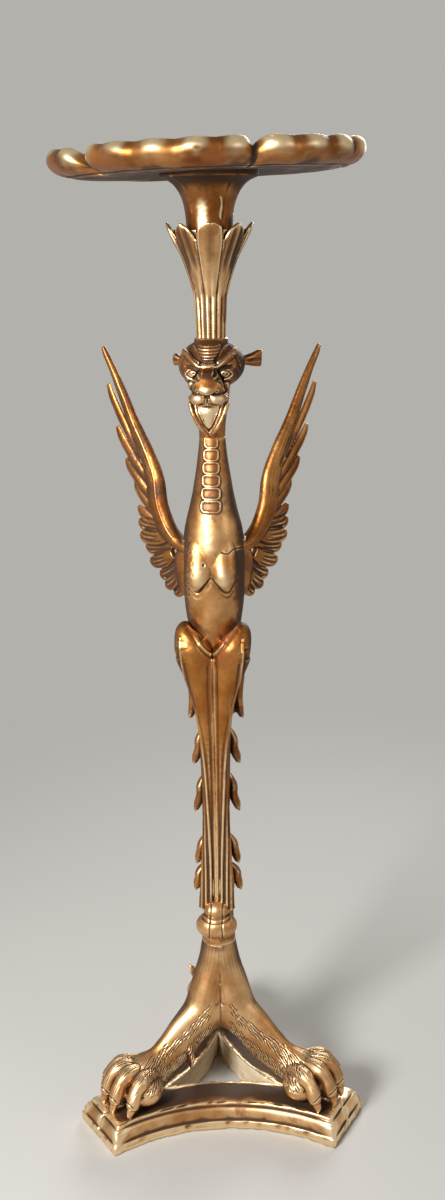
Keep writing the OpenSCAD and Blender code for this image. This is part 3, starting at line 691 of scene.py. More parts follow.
def tuft(bm, root, tip, wide):
    """Three locks of hair side by side."""
    root, tip = np.array(root, float), np.array(tip, float)
    for shift in (-0.5, 0.1, 0.6):
        side = np.array([0, shift * wide, 0])
        limb(bm, [(*root + side, wide * 0.6, wide * 0.6),
                  (*mix(root, tip, 0.45) + side * 1.3 + (-2, 0, 1), wide * 0.5, wide * 0.45),
                  (*mix(root, tip, 1 - 0.25 * abs(shift)) + side * 0.8, 0.7, 0.7)], 10, 8)

def leg_forms(bm, spur):
    """A leg that reaches out along x: shank, ball, toes and tufts."""
    r, w, h = ball_reach, ankle_w, hub_r
    limb(bm, [(0, 0, hub_z + 6, h, h), (0, 0, hub_z, h, h),
              (0.02 * r, 0, leg_z(0.84), h * 1.1, h * 1.2),
              (0.08 * r, 0, leg_z(0.67), h * 1.2, h * 1.38),
              (0.17 * r, 0, leg_z(0.49), h * 1.2, h * 1.52),
              (0.4 * r, 0, leg_z(0.365), w * 1.3, h * 1.42),
              (0.6 * r, 0, leg_z(0.262), w * 1.1, h * 1.28),
              (0.76 * r, 0, leg_z(0.2), w * 1.1, h * 1.25),
              (0.94 * r, 0, leg_z(0.17), w * 1.65, h * 1.25),
              (1.08 * r, 0, leg_z(0.15), w * 1.5, h * 0.9)], 48, 30)
    ball(bm, (r - 1, 0, plinth_h + ball_r * 0.82), (ball_r, ball_r * 1.46, ball_r * 0.86))
    for side in (-1, 1):
        for aside, ahead, high, wide in toes:
            toe(bm, side * aside, r + ahead, ball_r * high, w * wide)
    tuft(bm, (0.47 * r, 11, leg_z(0.31)), (0.455 * r, 17, leg_z(0.13)), 7)
    if spur:
        tuft(bm, (h, h * 1.1, leg_z(0.62)), (h, h * 1.8, leg_z(0.75)), 6)

# %% Fuse the legs and round the arches
leg_turns = {"leg_front_left": 210, "leg_front_right": 330, "leg_rear": 90}
leg_body = bmesh.new()
for leg_turn in leg_turns.values():
    one_leg = bmesh.new()
    leg_forms(one_leg, spur=leg_turn == 90)
    add_turned(leg_body, one_leg, leg_turn + base_turn)
ball(leg_body, (0, 0, leg_z(0.53)), (34, 34, 27))
fused_legs = Carving("leg_body", leg_body, grain=0.9, rounds=5)
leg_mesh = fused_legs.piece.data
# A large gouge rounds the arch between each two legs
arch_r, arch_z = 30, 72
spots = fused_legs.at
for arch_turn in (270, 30, 150):
    a = math.radians(arch_turn + base_turn)
    ahead, aside = np.array([math.cos(a), math.sin(a)]), np.array([-math.sin(a), math.cos(a)])
    w, h = spots[:, :2] @ aside, spots[:, 2] - arch_z
    away = np.hypot(w, h)
    inside = (spots[:, :2] @ ahead > 0) & (away < arch_r) & (h > -8)
    spread = (arch_r / np.maximum(away, 1) - 1)[inside]
    spots[inside, :2] += (w[inside] * spread)[:, None] * aside
    spots[inside, 2] += h[inside] * spread
leg_mesh.vertices.foreach_set("co", spots.ravel())

def scrape(bm, verts, rounds):
    """Smooths the points, as a scraper does after the gouge."""
    for _ in range(rounds):
        bmesh.ops.smooth_vert(bm, verts=verts, factor=0.95, use_axis_x=True,
                              use_axis_y=True, use_axis_z=True)

def near_arch(point, reach):
    """Whether a point is within reach, in degrees, of the middle of an arch."""
    turn = math.degrees(math.atan2(point.y, point.x)) - base_turn
    return (turn - 30 + reach) % 120 < 2 * reach

arches = bmesh.new()
arches.from_mesh(leg_mesh)
arch = [v for v in arches.verts
        if v.co.xy.length < arch_r + 20 and arch_z - 10 < v.co.z < arch_z + 68]
scrape(arches, arch, 40)
peak = [v for v in arch if arch_z + 26 < v.co.z < arch_z + 62 and near_arch(v.co, 25)]
scrape(arches, peak, 70)
arches.to_mesh(leg_mesh)
arches.free()
print("Fused legs:", len(leg_mesh.vertices), "points")

# %% Strokes of fur
# Radians from the middle of a leg to just beside its saw cut
glue_line = 1.03
middle_line = [(leg_z(share),) for share in (0.67, 0.49, 0.40, 0.335, 0.28, 0.235, 0.19, 0.17)]

def leg_middle(x):
    """Height of the leg's middle line, out along the leg."""
    return spline(middle_line, (x - 10) / 105)[0]

def lock(leg, view, keep, start, way, fall, length, deep):
    """A lock of hair: strokes side by side that fan out to a bent tip."""
    way = np.array(way) / np.hypot(*way)
    side = np.array([-way[1], way[0]])
    for shift in (-1.3, 1.3):
        line = [np.array(start) + side * shift * mix(0.8, 1.3, t) + way * length * t
                + np.array([0, -fall]) * t * t for t in np.linspace(0, 1, 6)]
        leg.stroke(view, line, 1.05, deep, keep, taper=True)

# %% Saw the legs apart and cut their fur, toes and claws
for leg_name, leg_turn in leg_turns.items():
    bm = bmesh.new()
    bm.from_mesh(leg_mesh)
    wedge(bm, leg_turn + base_turn, 60, gap=0.04)
    halve(bm, Vector((0, 0, hub_z)), Vector((0, 0, 1)))
    halve(bm, Vector((0, 0, plinth_h)), Vector((0, 0, -1)))
    leg = Carving("carved_" + leg_name, bm, grain=None, turn=leg_turn + base_turn)
    x, y, z = leg.local.T
    nx, ny, nz = leg.facing.T
    random = np.random.default_rng(leg_turn)
    upright = leg.local[:, [0, 2]]
    for side in (-1, 1):
        keep = np.clip(side * ny * 1.8 + 0.15, 0, 1)
        # Rows of short locks, thick along the lower edge and thin along the upper one
        for row, (lift, fall, deep) in enumerate([(20, 0.25, 0.9), (14, 0.4, 1.0), (-2, 1.0, 1.1),
                                                  (-8, 1.2, 1.4), (-14, 1.4, 1.5)]):
            for x0 in np.arange(26 + 2 * (row % 2), 92, 3.9):
                z0 = leg_middle(x0) + lift + random.uniform(-2.5, 2.5)
                slope = (leg_middle(x0 + 12) - leg_middle(x0)) / 12
                lock(leg, upright, keep, (x0, z0), (1, slope - fall * random.uniform(0.6, 1.1)),
                     random.uniform(0, 2), random.uniform(6, 10), deep)
        for x0 in np.arange(86, ball_reach + 1, 4.2):
            for lift in (-6, 2, 10, 18):
                z0 = leg_middle(x0) + lift + random.uniform(-2, 2)
                lock(leg, upright, keep * (z > plinth_h + 24), (x0, z0),
                     (1, -random.uniform(0.3, 0.9)), 2, random.uniform(6, 10), 1.1)
    # Hair runs over the knuckles and down each toe
    above = np.clip(nz * 1.6 + 0.2, 0, 1)
    ahead = np.clip(nx * 1.6, 0, 1)
    for side, reach, rise in [(side * aside, ball_reach + before, ball_r * high)
                              for side in (-1, 1) for aside, before, high, wide in toes]:
        for shift in (-4.5, -2.2, 0, 2.2, 4.5):
            line = [(reach - 48, side * 0.35 + shift), (reach - 36, side * 0.55 + shift),
                    (reach - 22, side * 0.8 + shift * 1.1), (reach - 12, side * 0.93 + shift)]
            leg.stroke(leg.local[:, :2], curve(line), 1.0, random.uniform(0.7, 1.2),
                       above, taper=True)
            line = [(side + shift, plinth_h + rise - 2), (side + shift, plinth_h + rise * 0.62)]
            leg.stroke(leg.local[:, 1:], line, 0.9, 0.6, ahead * (x > reach - 22), taper=True)
        # The root of each claw, and the pale claw itself
        claw_z = plinth_h + rise * 0.5
        root = curve([(side - 9, claw_z - 3), (side - 5, claw_z + 2.5), (side, claw_z + 4),
                      (side + 5, claw_z + 2.5), (side + 9, claw_z - 3)])
        leg.stroke(leg.local[:, 1:], root, 1.4, 1.3, ahead * (x > reach - 20))
        claw = (np.abs(y - side) < 8) & (x > reach - 18) & (z < claw_z + 2)
        leg.bole[claw] -= 0.8
    # A groove beside each glue line of the hub, and a few small chips
    hub = smooth_step(z, hub_z - 107, hub_z - 90) * (1 - smooth_step(z, hub_z - 45, hub_z - 25))
    leg.depth += 0.7 * hub * bell(np.abs(np.arctan2(y, x)) - glue_line, 0.012)
    edge_chips(leg, 4, 0.35, 0.5)
    leg.depth += 0.25 * lumps(leg.at, 14, 7)
    # Painted shade: the undersides are darker, with patches of bole, and so is the hub towards its
    # top; patches of dirt lie over all
    leg.bole += patches(leg.at, 16, 8, 0.2, 0.8) * smooth_step(-nz, 0.0, 0.8)
    leg.soil = 0.6 * smooth_step(-nz, 0.0, 0.8) + 0.3 * smooth_step(z, hub_z - 65, hub_z - 15)
    leg.highlight_and_wear = -smooth_step(z, hub_z - 3, hub_z - 1)
    leg.soil += 0.25 * patches(leg.at, 24, 10, 0.1, 0.8)
    # The rear leg, in the shade, takes the slightly darker gold_leaf: painted shade
    leg.finish(bright_gold if leg_turn != 90 else gold_leaf, leg_name)
bpy.data.objects.remove(fused_legs.piece)

# %% [markdown]
# ## Column, hind legs and bud
# The griffin's folded hind legs run down the front of a slim core: broad smooth panels with a
# bright ridge in the middle, ending in reeds above a small two-ball bud. The whole figure is
# turned a few degrees to its own right.

# %% The core
gaze = 6
column_h, column_r, belly_w, belly_y = 375, 15, 25, 3
belly_z = hub_z + column_h
column_shape = [hub_r, column_r * 1.22, column_r * 1.36, column_r * 1.08, column_r,
                column_r * 1.04, column_r * 1.08, column_r * 1.14, column_r * 1.25,
                (column_r * 1.25 + belly_w) / 2, belly_w]

def column_half(z):
    return spline([(r,) for r in column_shape], (z - hub_z) / column_h)[0]

bm = bmesh.new()
limb(bm, [(0, belly_y * (i / 10) ** 3, hub_z + column_h * i / 10, r,
           r * mix(1, 1.12, (i / 10) ** 3)) for i, r in enumerate(column_shape)],
     150, 72, (1, 0, 0))
core = Carving("carved_column", bm, grain=None, turn=-gaze)
core.depth += 0.4 * lumps(core.at, 18, 11)
angle = np.arctan2(core.local[:, 0], -core.local[:, 1])
height = core.at[:, 2]
reeded = smooth_step(height, hub_z + 40, hub_z + 60)
reeded = reeded * (1 - smooth_step(height, hub_z + 85, hub_z + 130))
core.depth += 0.9 * reeded * ripples(11 * angle)
core.bole = patches(core.at, 20, 12, 0, 0.8)
# Painted shade: the whole core is darker, unevenly
core.soil = 0.35 + 0.15 * lumps(core.at, 24, 13)
core.finish(deep_gold, "column")

# %% Hind legs
knee_w = 44
# Height from the belly, outer and inner edge in knee widths, front face, half depth
knee_rows = [(36, 0.8, 0.64, -17, 4), (27, 0.97, 0.5, -34, 13), (13, 1, 0.22, -44, 18),
             (0, 0.96, 0, -44, 18), (-44, 0.6, 0, -38, 15), (-86, 0.43, 0, -31, 12),
             (-140, 0.37, 0, -24, 9), (-200, 0.35, 0, -20.5, 7), (-268, 0.41, 0, -21, 6),
             (-325, 0.48, 0, -25, 7)]
# Lines on a leg: distance from the middle, and height from the belly
knee_sweep = [(36, 24), (35, -2), (29, -38), (20, -75), (13.5, -120), (10.5, -170), (8, -230),
              (6.8, -270), (6.5, -324)]
knee_outer = [(22, -30), (18, -90), (15, -150), (13, -230), (13.5, -324)]
knee_rim = [(2, 4), (12, 16), (21, 29), (29, 37)]
knee_tip = (33, 16)

def hind_leg(node, side):
    """One folded leg, sawn flat where it meets the other one."""
    bm = bmesh.new()
    limb(bm, [(side * knee_w * (outer + inner) / 2, front + half, belly_z + z,
               knee_w * (outer - inner) / 2 + 1, half)
              for z, outer, inner, front, half in knee_rows], 90, 36, (1, 0, 0))
    bm.transform(about_z(-gaze))
    normal = Vector((-side * math.cos(math.radians(gaze)), side * math.sin(math.radians(gaze)), 0))
    halve(bm, normal * -0.15, normal)
    leg = Carving("carved_" + node, bm, grain=0.95, rounds=2, turn=-gaze)
    x, _, z = leg.local.T
    front = leg.front(2)
    view = leg.local[:, [0, 2]]

    def line(points, count):
        return curve([(side * out, belly_z + up) for out, up in points], count)

    # Bright ridge along the middle and one that sweeps in from the knee
    leg.stroke(view, line([(1.2, -2), (1.0, -324)], 2), 2.3, -0.9, front)
    leg.stroke(view, line([(4.6, -10), (3.5, -324)], 2), 2.4, 0.8, front)
    sweep = line(knee_sweep, 44)
    leg.stroke(view, sweep, 2.4, -1.1, front)
    leg.stroke(view, sweep[6:] - (side * 3.2, 0), 2.6, 0.6, front)
    leg.stroke(view, sweep[3:] + (side * 3.4, 0), 3.2, 1.2, front)
    outer = line(knee_outer, 30)
    leg.stroke(view, outer, 2.2, -0.6, front, taper=True)
    leg.stroke(view, outer[12:] + (side * 2.8, 0), 2.2, 0.9, front, taper=True)
    # Rim of the V where the thighs meet the belly
    rim = line(knee_rim, 20)
    leg.stroke(view, rim, 2.4, -1.2, front)
    leg.stroke(view, rim - (0, 4.5), 3.0, 0.7, front)
    # The grooves deepen into reeds above the bud
    reeds = 1 - smooth_step(z, belly_z - 300, belly_z - 240)
    leg.depth += 1.4 * reeds * (1 - ripples(2 * math.pi * x / 6.2)) * front
    leg.depth += 0.35 * lumps(leg.at, 15, 20 + side) + 0.1 * lumps(leg.at, 4, 23)
    leg.bole = patches(leg.local * (1, 1, 0.4), 14, 21, 0.0, 0.7)
    # The point of each knee is worn through its gesso
    worn = bell(x - side * knee_tip[0], 7, z - (belly_z + knee_tip[1]), 12) * front
    leg.depth += 0.9 * worn * patches(leg.at, 8, 24, -0.3, 0.2)
    leg.bole -= 1.0 * worn
    # Darker towards the bottom, with patches of dirt, and painted shade on the outer sides of the
    # knees; the worn knee tips stay clean
    leg.soil = 0.25 * (1 - smooth_step(z, belly_z - 190, belly_z - 30))
    leg.soil += 0.2 * patches(leg.at, 30, 25, 0, 0.8)
    leg.soil += 0.35 * smooth_step(side * x, 16, 34) * smooth_step(z, belly_z - 90, belly_z - 30)
    leg.soil -= 0.5 * worn
    # Painted highlight along the ridge in the middle, fading out downwards; the worn knee tips are
    # a little paler
    leg.highlight_and_wear = 0.5 * bell(x - side * 1.5, 1.6) * front
    leg.highlight_and_wear *= smooth_step(z, belly_z - 150, belly_z - 50)
    leg.highlight_and_wear += 0.1 * worn
    leg.finish(copper_gold, node, relief=0.8)

hind_leg("knee_left", -1)
hind_leg("knee_right", 1)

# %% Bud
bud_w, bud_z = 25, hub_z + 32
bm = bmesh.new()
ball(bm, (0, -25, bud_z), (bud_w, 20, bud_w * 0.7))
ball(bm, (0, -21, bud_z + bud_w * 0.72), (bud_w * 0.62, 15, bud_w * 0.52))
bm.transform(about_z(-gaze))
bud = Carving("carved_bud", bm, grain=0.9, rounds=2, turn=-gaze)
view, front = bud.local[:, [0, 2]], bud.front()
for groove_x, slant in ((-7.5, 1.5), (9, -1)):
    bud.stroke(view, [(groove_x, bud_z - 17), (groove_x + slant, bud_z + 28)], 1.7, 0.9, front)
bud.stroke(view, [(-17, bud_z + 11.5), (0, bud_z + 10), (17, bud_z + 11.5)], 2.0, 0.9, front)
bud.depth += 0.3 * lumps(bud.at, 9, 31)
bud.finish(bright_gold, "bud")

# %% [markdown]
# ## Husks and tail curls
# Tiers of leaves hug the back of the column with reeded, blunt tips, and two round curls of
# the tail sit over them. The reeds of a leaf follow the angle round the column.

# %% Husks
# Height, length, reach in column widths, turns of the leaves, place and thickness of the band
husk_rows = [(belly_z - 86, 76, 2.2, (-74, 74), 0.12, 7),
             (belly_z - 143, 44, 1.9, (-74, 0, 74), 0.6, 4),
             (belly_z - 204, 48, 1.84, (-74, 0, 74), 0.6, 4),
             (hub_z + 102, 38, 1.76, (-74, 0, 74), 0.6, 4),
             (hub_z + 66, 34, 1.9, (-74, 0, 74), 0.6, 4)]

def husk(index, z, length, reach, turns, band, thick):
    """Leaves round the back of the column, with a band of small swellings at their root."""
    tip = reach * column_r
    bm = bmesh.new()
    for turn in turns:
        leaf = bmesh.new()
        root = column_half(z + length)
        mid, low = column_half(z + length * 0.7), column_half(z)
        swell = 5 if index == 1 else 1
        limb(leaf, [(0, root - 3 + swell, z + length, 4, 2),
                    (0, mid + 2 + swell, z + length * 0.7, 10, 5.5),
                    (0, mix(low, tip, 0.32) + swell * 0.8, z + length * 0.4, 12, 5.5),
                    (0, mix(low, tip, 0.68), z + length * 0.16, 11, 5),
                    (0, tip - 2, z, 9.5, 3)], 30, 22, (1, 0, 0))
        add_turned(bm, leaf, -turn)
    band_z = z + length * band
    for turn in range(-60, 61, 15):
        a = math.radians(90 - turn)
        r = column_half(band_z) + thick - 4
        ball(bm, (r * math.cos(a), r * math.sin(a), band_z), (6, 6, 8))
    piece = Carving(f"carved_husk_{index}", bm, grain=0.9, rounds=2)
    x, y, height = piece.at.T
    for turn in turns:
        a = math.radians(90 - turn)
        across = -x * math.sin(a) + y * math.cos(a)
        leaf_here = (x * math.cos(a) + y * math.sin(a) > 8) & (np.abs(across) < 12)
        down = smooth_step((z + length - height) / length, 0.1, 0.6)
        piece.depth += 0.9 * ripples(across * 2 * math.pi / 6.3) * down * leaf_here
    piece.depth += 0.25 * lumps(piece.at, 8, 40 + index)
    piece.bole = patches(piece.at, 10, 45, -0.2, 0.5)
    piece.finish(deep_gold, f"husk_{index}")

for index, row in enumerate(husk_rows, 1):
    husk(index, *row)

# %% Tail curls
def tail_curl(node, z, reach, high):
    """Two fused balls with a spiral on each side and locks of hair round the back."""
    deep = reach / 2 - 6
    bm = bmesh.new()
    ball(bm, (0, reach - deep, z), (high * 1.2, deep, high))
    ball(bm, (0, reach - 1.5 * deep, z + high * 0.6), (high * 1.5, deep * 0.8, high * 0.7))
    bm.transform(about_z(-gaze))
    curl = Carving("carved_" + node, bm, grain=0.95, rounds=3, turn=-gaze)
    x, y, height = curl.local.T
    for side in (-1, 1):
        turns = np.radians(np.arange(0, 600, 15))
        size = high * 0.8 * (1 - turns / turns[-1] * 0.85)
        spiral = np.stack([reach - deep + size * np.cos(turns) * 1.1,
                           z + size * np.sin(turns)], axis=1)
        curl.stroke(curl.local[:, [1, 2]], spiral, 2.0, 1.5,
                    keep=np.clip(side * curl.facing[:, 0] * 2, 0, 1))
    angle = np.arctan2(height - z, y - reach + deep)
    back = np.clip(curl.facing[:, 1], 0, 1)
    curl.depth += 0.9 * ripples(x * 2 * math.pi / 5 + 0.8 * np.sin(angle * 2)) * back
    curl.bole = patches(curl.at, 12, 51, 0, 0.7)
    curl.finish(deep_gold, node)

tail_curl("tail_curl_upper", belly_z - 17, 54, 17.6)
tail_curl("tail_curl_lower", belly_z - 54, 51, 15.3)

# %% [markdown]
# ## Torso
# A long smooth breast and neck. Six throat plates stand in raised rims, two pointed lobes
# close the breast, and one open nail hole and a shrinkage crack tell its age.

# %% Torso form
torso_h, chest_w, neck_r = 249, 35.5, 14.5
throat_z = belly_z + torso_h
# Half width, front and back, from the belly up to the throat
torso_shape = [(belly_w, 25, 30), (chest_w * 0.8, 26, 37), (chest_w * 0.9, 28, 36),
               (chest_w * 0.97, 30, 31), (chest_w, 33, 28), (chest_w * 0.99, 36, 27),
               (chest_w * 0.98, 37, 27), (chest_w * 0.92, 35, 26), (chest_w * 0.78, 31, 23),
               (chest_w * 0.65, 26, 20), (chest_w * 0.545, 22, 18),
               (neck_r * 1.13, 18.5, 15.5), (neck_r, neck_r * 1.08, neck_r * 0.92)]

def torso_point(along, around):
    wide, front, back = spline(torso_shape, along)
    a = 2 * math.pi * around
    return Vector((wide * math.cos(a), (front if math.sin(a) < 0 else back) * math.sin(a),
                   belly_z + torso_h * along))

breast_z, chest_z = belly_z + torso_h * 0.36, belly_z + 132
bm = bmesh.new()
bend(bm, 100, 64, torso_point)
lobes = bmesh.new()
for side in (-1, 1):
    limb(lobes, [(side * 9, -22, breast_z + 52, 9, 6),
                 (side * 12, -24.5, breast_z + 36, 14, 10),
                 (side * 13.5, -28.5, breast_z + 12, 15, 12),
                 (side * 16, -31, breast_z - 2, 11, 10),
                 (side * 18.5, -33, breast_z - 11, 2.6, 2.4)], 36, 28, (1, 0, 0))
add_turned(bm, lobes, -gaze)
torso = Carving("carved_torso", bm, grain=1.0, rounds=14, turn=-gaze)
print("Torso from", round(belly_z), "to", round(throat_z), "mm")

# %% Throat plates
x, y, z = torso.local.T
front = torso.front(3)
plates, plate_step, plate_high, corner = 6, 14, 6.6, 4.5
for i in range(plates):
    plate_z = throat_z - 5 - plate_step * i
    half = mix(7.6, 11.2, i / (plates - 1))
    flat_x = np.abs(x) - half + corner
    flat_z = np.abs(z - plate_z) - plate_high + corner
    apart = (np.hypot(np.maximum(flat_x, 0), np.maximum(flat_z, 0))
             + np.minimum(np.maximum(flat_x, flat_z), 0) - corner)
    # A raised rim, and a flat face inside it on which the bole shows
    torso.depth -= 1.1 * bell(apart + 0.6, 0.85) * front
    torso.depth -= 0.5 * smooth_step(-apart, -0.5, 1.5) * front
    torso.highlight_and_wear -= 0.45 * bell(apart + 0.6, 1.2) * front
    torso.bole = np.maximum(torso.bole, 2.0 * smooth_step(-apart, 1.0, 2.0) * front)
    torso.soil += 0.3 * i / plates * smooth_step(-apart, 1.0, 2.0) * front
print(plates, "throat plates,", plate_step, "mm apart")

# %% Breast, cracks, wear, painted shade and painted highlight
view = torso.local[:, [0, 2]]
for side in (-1, 1):
    edge = curve([(0, breast_z + 5), (side * 7, breast_z - 4), (side * 17.5, breast_z - 15),
                  (side * 25, breast_z - 5), (side * 29, breast_z + 12)], 30)
    torso.stroke(view, edge[:22], 2.8, 1.5, front, taper=True)
    torso.stroke(view, edge[:22] - (0, 5), 5.0, 1.0, front, taper=True)
nail_hole = bell(np.hypot(x + 8, z - (breast_z + 20)), 1.3)
torso.depth += 2.6 * nail_hole * front
crack = curve([(12, chest_z - 8), (19, chest_z - 10), (25, chest_z - 6), (33, chest_z - 7),
               (38, chest_z - 4)], 16)
torso.stroke(view, crack, 0.9, 1.1, front)
torso.depth += 0.45 * lumps(torso.at, 20, 61) + 0.12 * lumps(torso.at, 5, 62)
torso.bole = torso.bole + 0.7 * patches(torso.at, 26, 63, 0.15, 0.8)
# The gesso is pitted on one flank
rough_side = smooth_step(-x, 14, 26) * smooth_step(z, belly_z + 60, belly_z + 78)
rough_side = rough_side * (1 - smooth_step(z, chest_z - 7, chest_z + 13))
torso.depth += 0.35 * rough_side * patches(torso.at, 2.6, 64, 0.1, 0.5)
# Painted shade on the flanks; the belly and the top of the torso are darker too, with patches of
# dirt
torso.soil += 0.45 * smooth_step(np.abs(x), 18, 34)
torso.soil += 0.3 * (1 - smooth_step(z, belly_z + 20, belly_z + 65))
torso.soil += 0.25 * smooth_step(z, chest_z + 13, chest_z + 53)
torso.soil += 0.22 * patches(torso.at, 34, 65, 0, 0.8)
# Painted highlight: the breast and the middle of the chest are lightened to a pale shine
breast_highlight = bell(np.abs(x) - 13, 9, z - breast_z - 8, 17)
chest_highlight = bell(x + 3, 15, z - chest_z, 20)
torso.highlight_and_wear += 0.55 * np.maximum(breast_highlight, chest_highlight) * front
torso.soil -= 0.5 * np.maximum(breast_highlight, chest_highlight) * front
# The joint under the head is waxed over
torso.highlight_and_wear -= smooth_step(z, throat_z - 3, throat_z - 1)
torso.finish(gold_leaf, "torso")

# %% [markdown]
# ## Wings
# Each wing is drawn flat, u out from the shoulder and v up, and then swung back. A thick
# smooth arm leads; long pointed feathers fan out behind it and short leafy coverts cover the
# root. A line that follows the bow of each feather guides its grooves.

# %% Wing plan
shoulder_z = belly_z + torso_h * 0.49
shoulder_x = chest_w - 3.5
wing_sweep = math.radians(38)
# Arm: u, v, half width, half thickness
wing_arm = [(-6, 0, 9, 10), (9, 4, 9, 10), (26, 18, 11, 9.5), (39, 44, 12.5, 9.5),
            (44, 76, 12, 8.5), (57, 106, 10, 7), (73, 135, 8, 6), (88, 166, 6.5, 5),
            (103, 195, 5, 4), (113, 212, 4, 3), (117, 220, 2.5, 2)]
# Feathers and coverts: root u and v, tip u and v, half width
feathers = [(64, 96, 112, 178, 5.5), (54, 70, 100, 130, 6), (48, 50, 87, 94, 6.5),
            (44, 34, 74, 68, 6.5), (40, 20, 70, 40, 7)]
coverts = [(28, 20, 72, 22, 9.5), (24, 10, 66, 8, 9.5), (20, 0, 62, -6, 9.5),
           (16, -10, 52, -22, 9.5), (10, -20, 42, -38, 9.5), (6, -30, 30, -48, 9),
           (2, -36, 21, -58, 8)]
print("A wing has an arm,", len(feathers), "long feathers and", len(coverts), "coverts")

# %% A feather
def blade_line(u0, v0, u1, v1):
    """Bowed middle line of a feather."""
    way = Vector((v1 - v0, u0 - u1)).normalized() * 3
    return [(u0, v0), (mix(u0, u1, 0.4) + way.x, mix(v0, v1, 0.4) + way.y),
            (mix(u0, u1, 0.8) + way.x, mix(v0, v1, 0.8) + way.y), (u1, v1)]

def feather_lines(feather):
    """Points along the middle of a feather, the way across it, and its half width."""
    u0, v0, u1, v1, wide = feather
    way = np.array([v1 - v0, u0 - u1]) / math.hypot(u1 - u0, v1 - v0)
    return curve(blade_line(u0, v0, u1, v1), 18), way, wide

def blade(bm, feather, back, thick):
    """A flat feather that narrows to its tip."""
    *ends, wide = feather
    line = blade_line(*ends)
    widths = (wide * 0.7, wide, wide * 0.95, 3.2)
    limb(bm, [(*spot, back, t, w) for spot, t, w in
              zip(line, (thick, thick, thick * 0.8, 1.2), widths)], 26, 20, (0, 0, 1))

# %% Wings
def wing(node, side):
    """A wing, fused and cut while it lies flat, and then swung back to its shoulder."""
    bm = bmesh.new()
    limb(bm, [(u, v, 0, thick, wide) for u, v, wide, thick in wing_arm], 70, 26, (0, 0, 1))
    for feather in feathers:
        blade(bm, feather, 2, 3)
    # The coverts lie in front and behind by turns, over the thick root
    for i, covert in enumerate(coverts):
        blade(bm, covert, 3 if i % 2 == 0 else -2, 4.5)
    limb(bm, [(-4, 10, 0, 9, 8), (2, -14, 0, 9, 12), (0, -36, 0, 8, 13), (-3, -56, 0, 6, 7)],
         24, 18, (0, 0, 1))
    flat = Carving("carved_" + node, bm, grain=0.85, rounds=3)
    plan_view = flat.at[:, :2]
    face = np.clip(np.abs(flat.facing[:, 2]) * 1.6, 0, 1)
    # One long groove beside the shaft of each feather
    for line, way, wide in map(feather_lines, feathers):
        flat.stroke(plan_view, line[3:-2] + way * wide * 0.35, 2.0, 0.9, face, taper=True)
    # Two grooves fan out over each covert, and a deeper one parts it from the next
    for line, way, wide in map(feather_lines, coverts):
        fan = np.linspace(0.25, 1.15, len(line))[:, None]
        for shift in (-0.33, 0.33):
            flat.stroke(plan_view, (line + way * shift * wide * fan)[4:-2], 2.4, 1.1, face,
                        taper=True)
        flat.stroke(plan_view, (line - way * wide * 0.95 * fan ** 0.3)[4:-2], 2.6, 2.0, face,
                    taper=True)
    # The arm: a bright ridge in front and long grooves behind it
    arm_line = curve([(u, v) for u, v, wide, thick in wing_arm], 60)
    lead = curve([(u - 0.35 * wide, v + 0.2 * wide) for u, v, wide, thick in wing_arm], 60)
    flat.stroke(plan_view, lead[8:-2], 1.6, -0.4, face)
    for shift, deep in ((2.5, 0.9), (5.0, 0.9)):
        flat.stroke(plan_view, arm_line[26:-3] + (shift * 0.8, -shift * 0.35), 1.2, deep, face)
    flat.depth += 0.25 * lumps(flat.at, 12, 71) + 0.1 * lumps(flat.at, 3, 72)
    flat.bole = patches(flat.at, 13, 73, 0.0, 0.7)
    # Patches of wax lie on both wings; painted shade darkens the left wing, and the edges are
    # duller, most of all on the left
    flat.soil = 0.3 * patches(flat.at, 22, 74, -0.2, 0.6) + 0.3 * (side < 0)
    flat.highlight_and_wear = -0.25 - 0.25 * (side < 0)

    def swing(points):
        u, v, w = points.T
        return np.stack([side * (math.cos(wing_sweep) * u - math.sin(wing_sweep) * w),
                         math.sin(wing_sweep) * u + math.cos(wing_sweep) * w, v], axis=1)

    flat.at = swing(flat.at) + (side * shoulder_x, 2, shoulder_z)
    flat.out = swing(flat.out)
    if side < 0:
        flat.piece.data.flip_normals()
    flat.finish(deep_gold, node)

wing("wing_left", -1)
wing("wing_right", 1)

# %% [markdown]
# ## Head
# The head is a stack of rounded masses: skull, cheeks, muzzle, hanging chin. Over them the
# carver cut a ridged brow panel, a V-shaped brow, deep-set eyes, a broad nose with two lip
# pads, and a shield-shaped chin.

# %% Head masses
head_h, head_w = 105, 37
crown_z = throat_z + head_h
shaft_r = 16

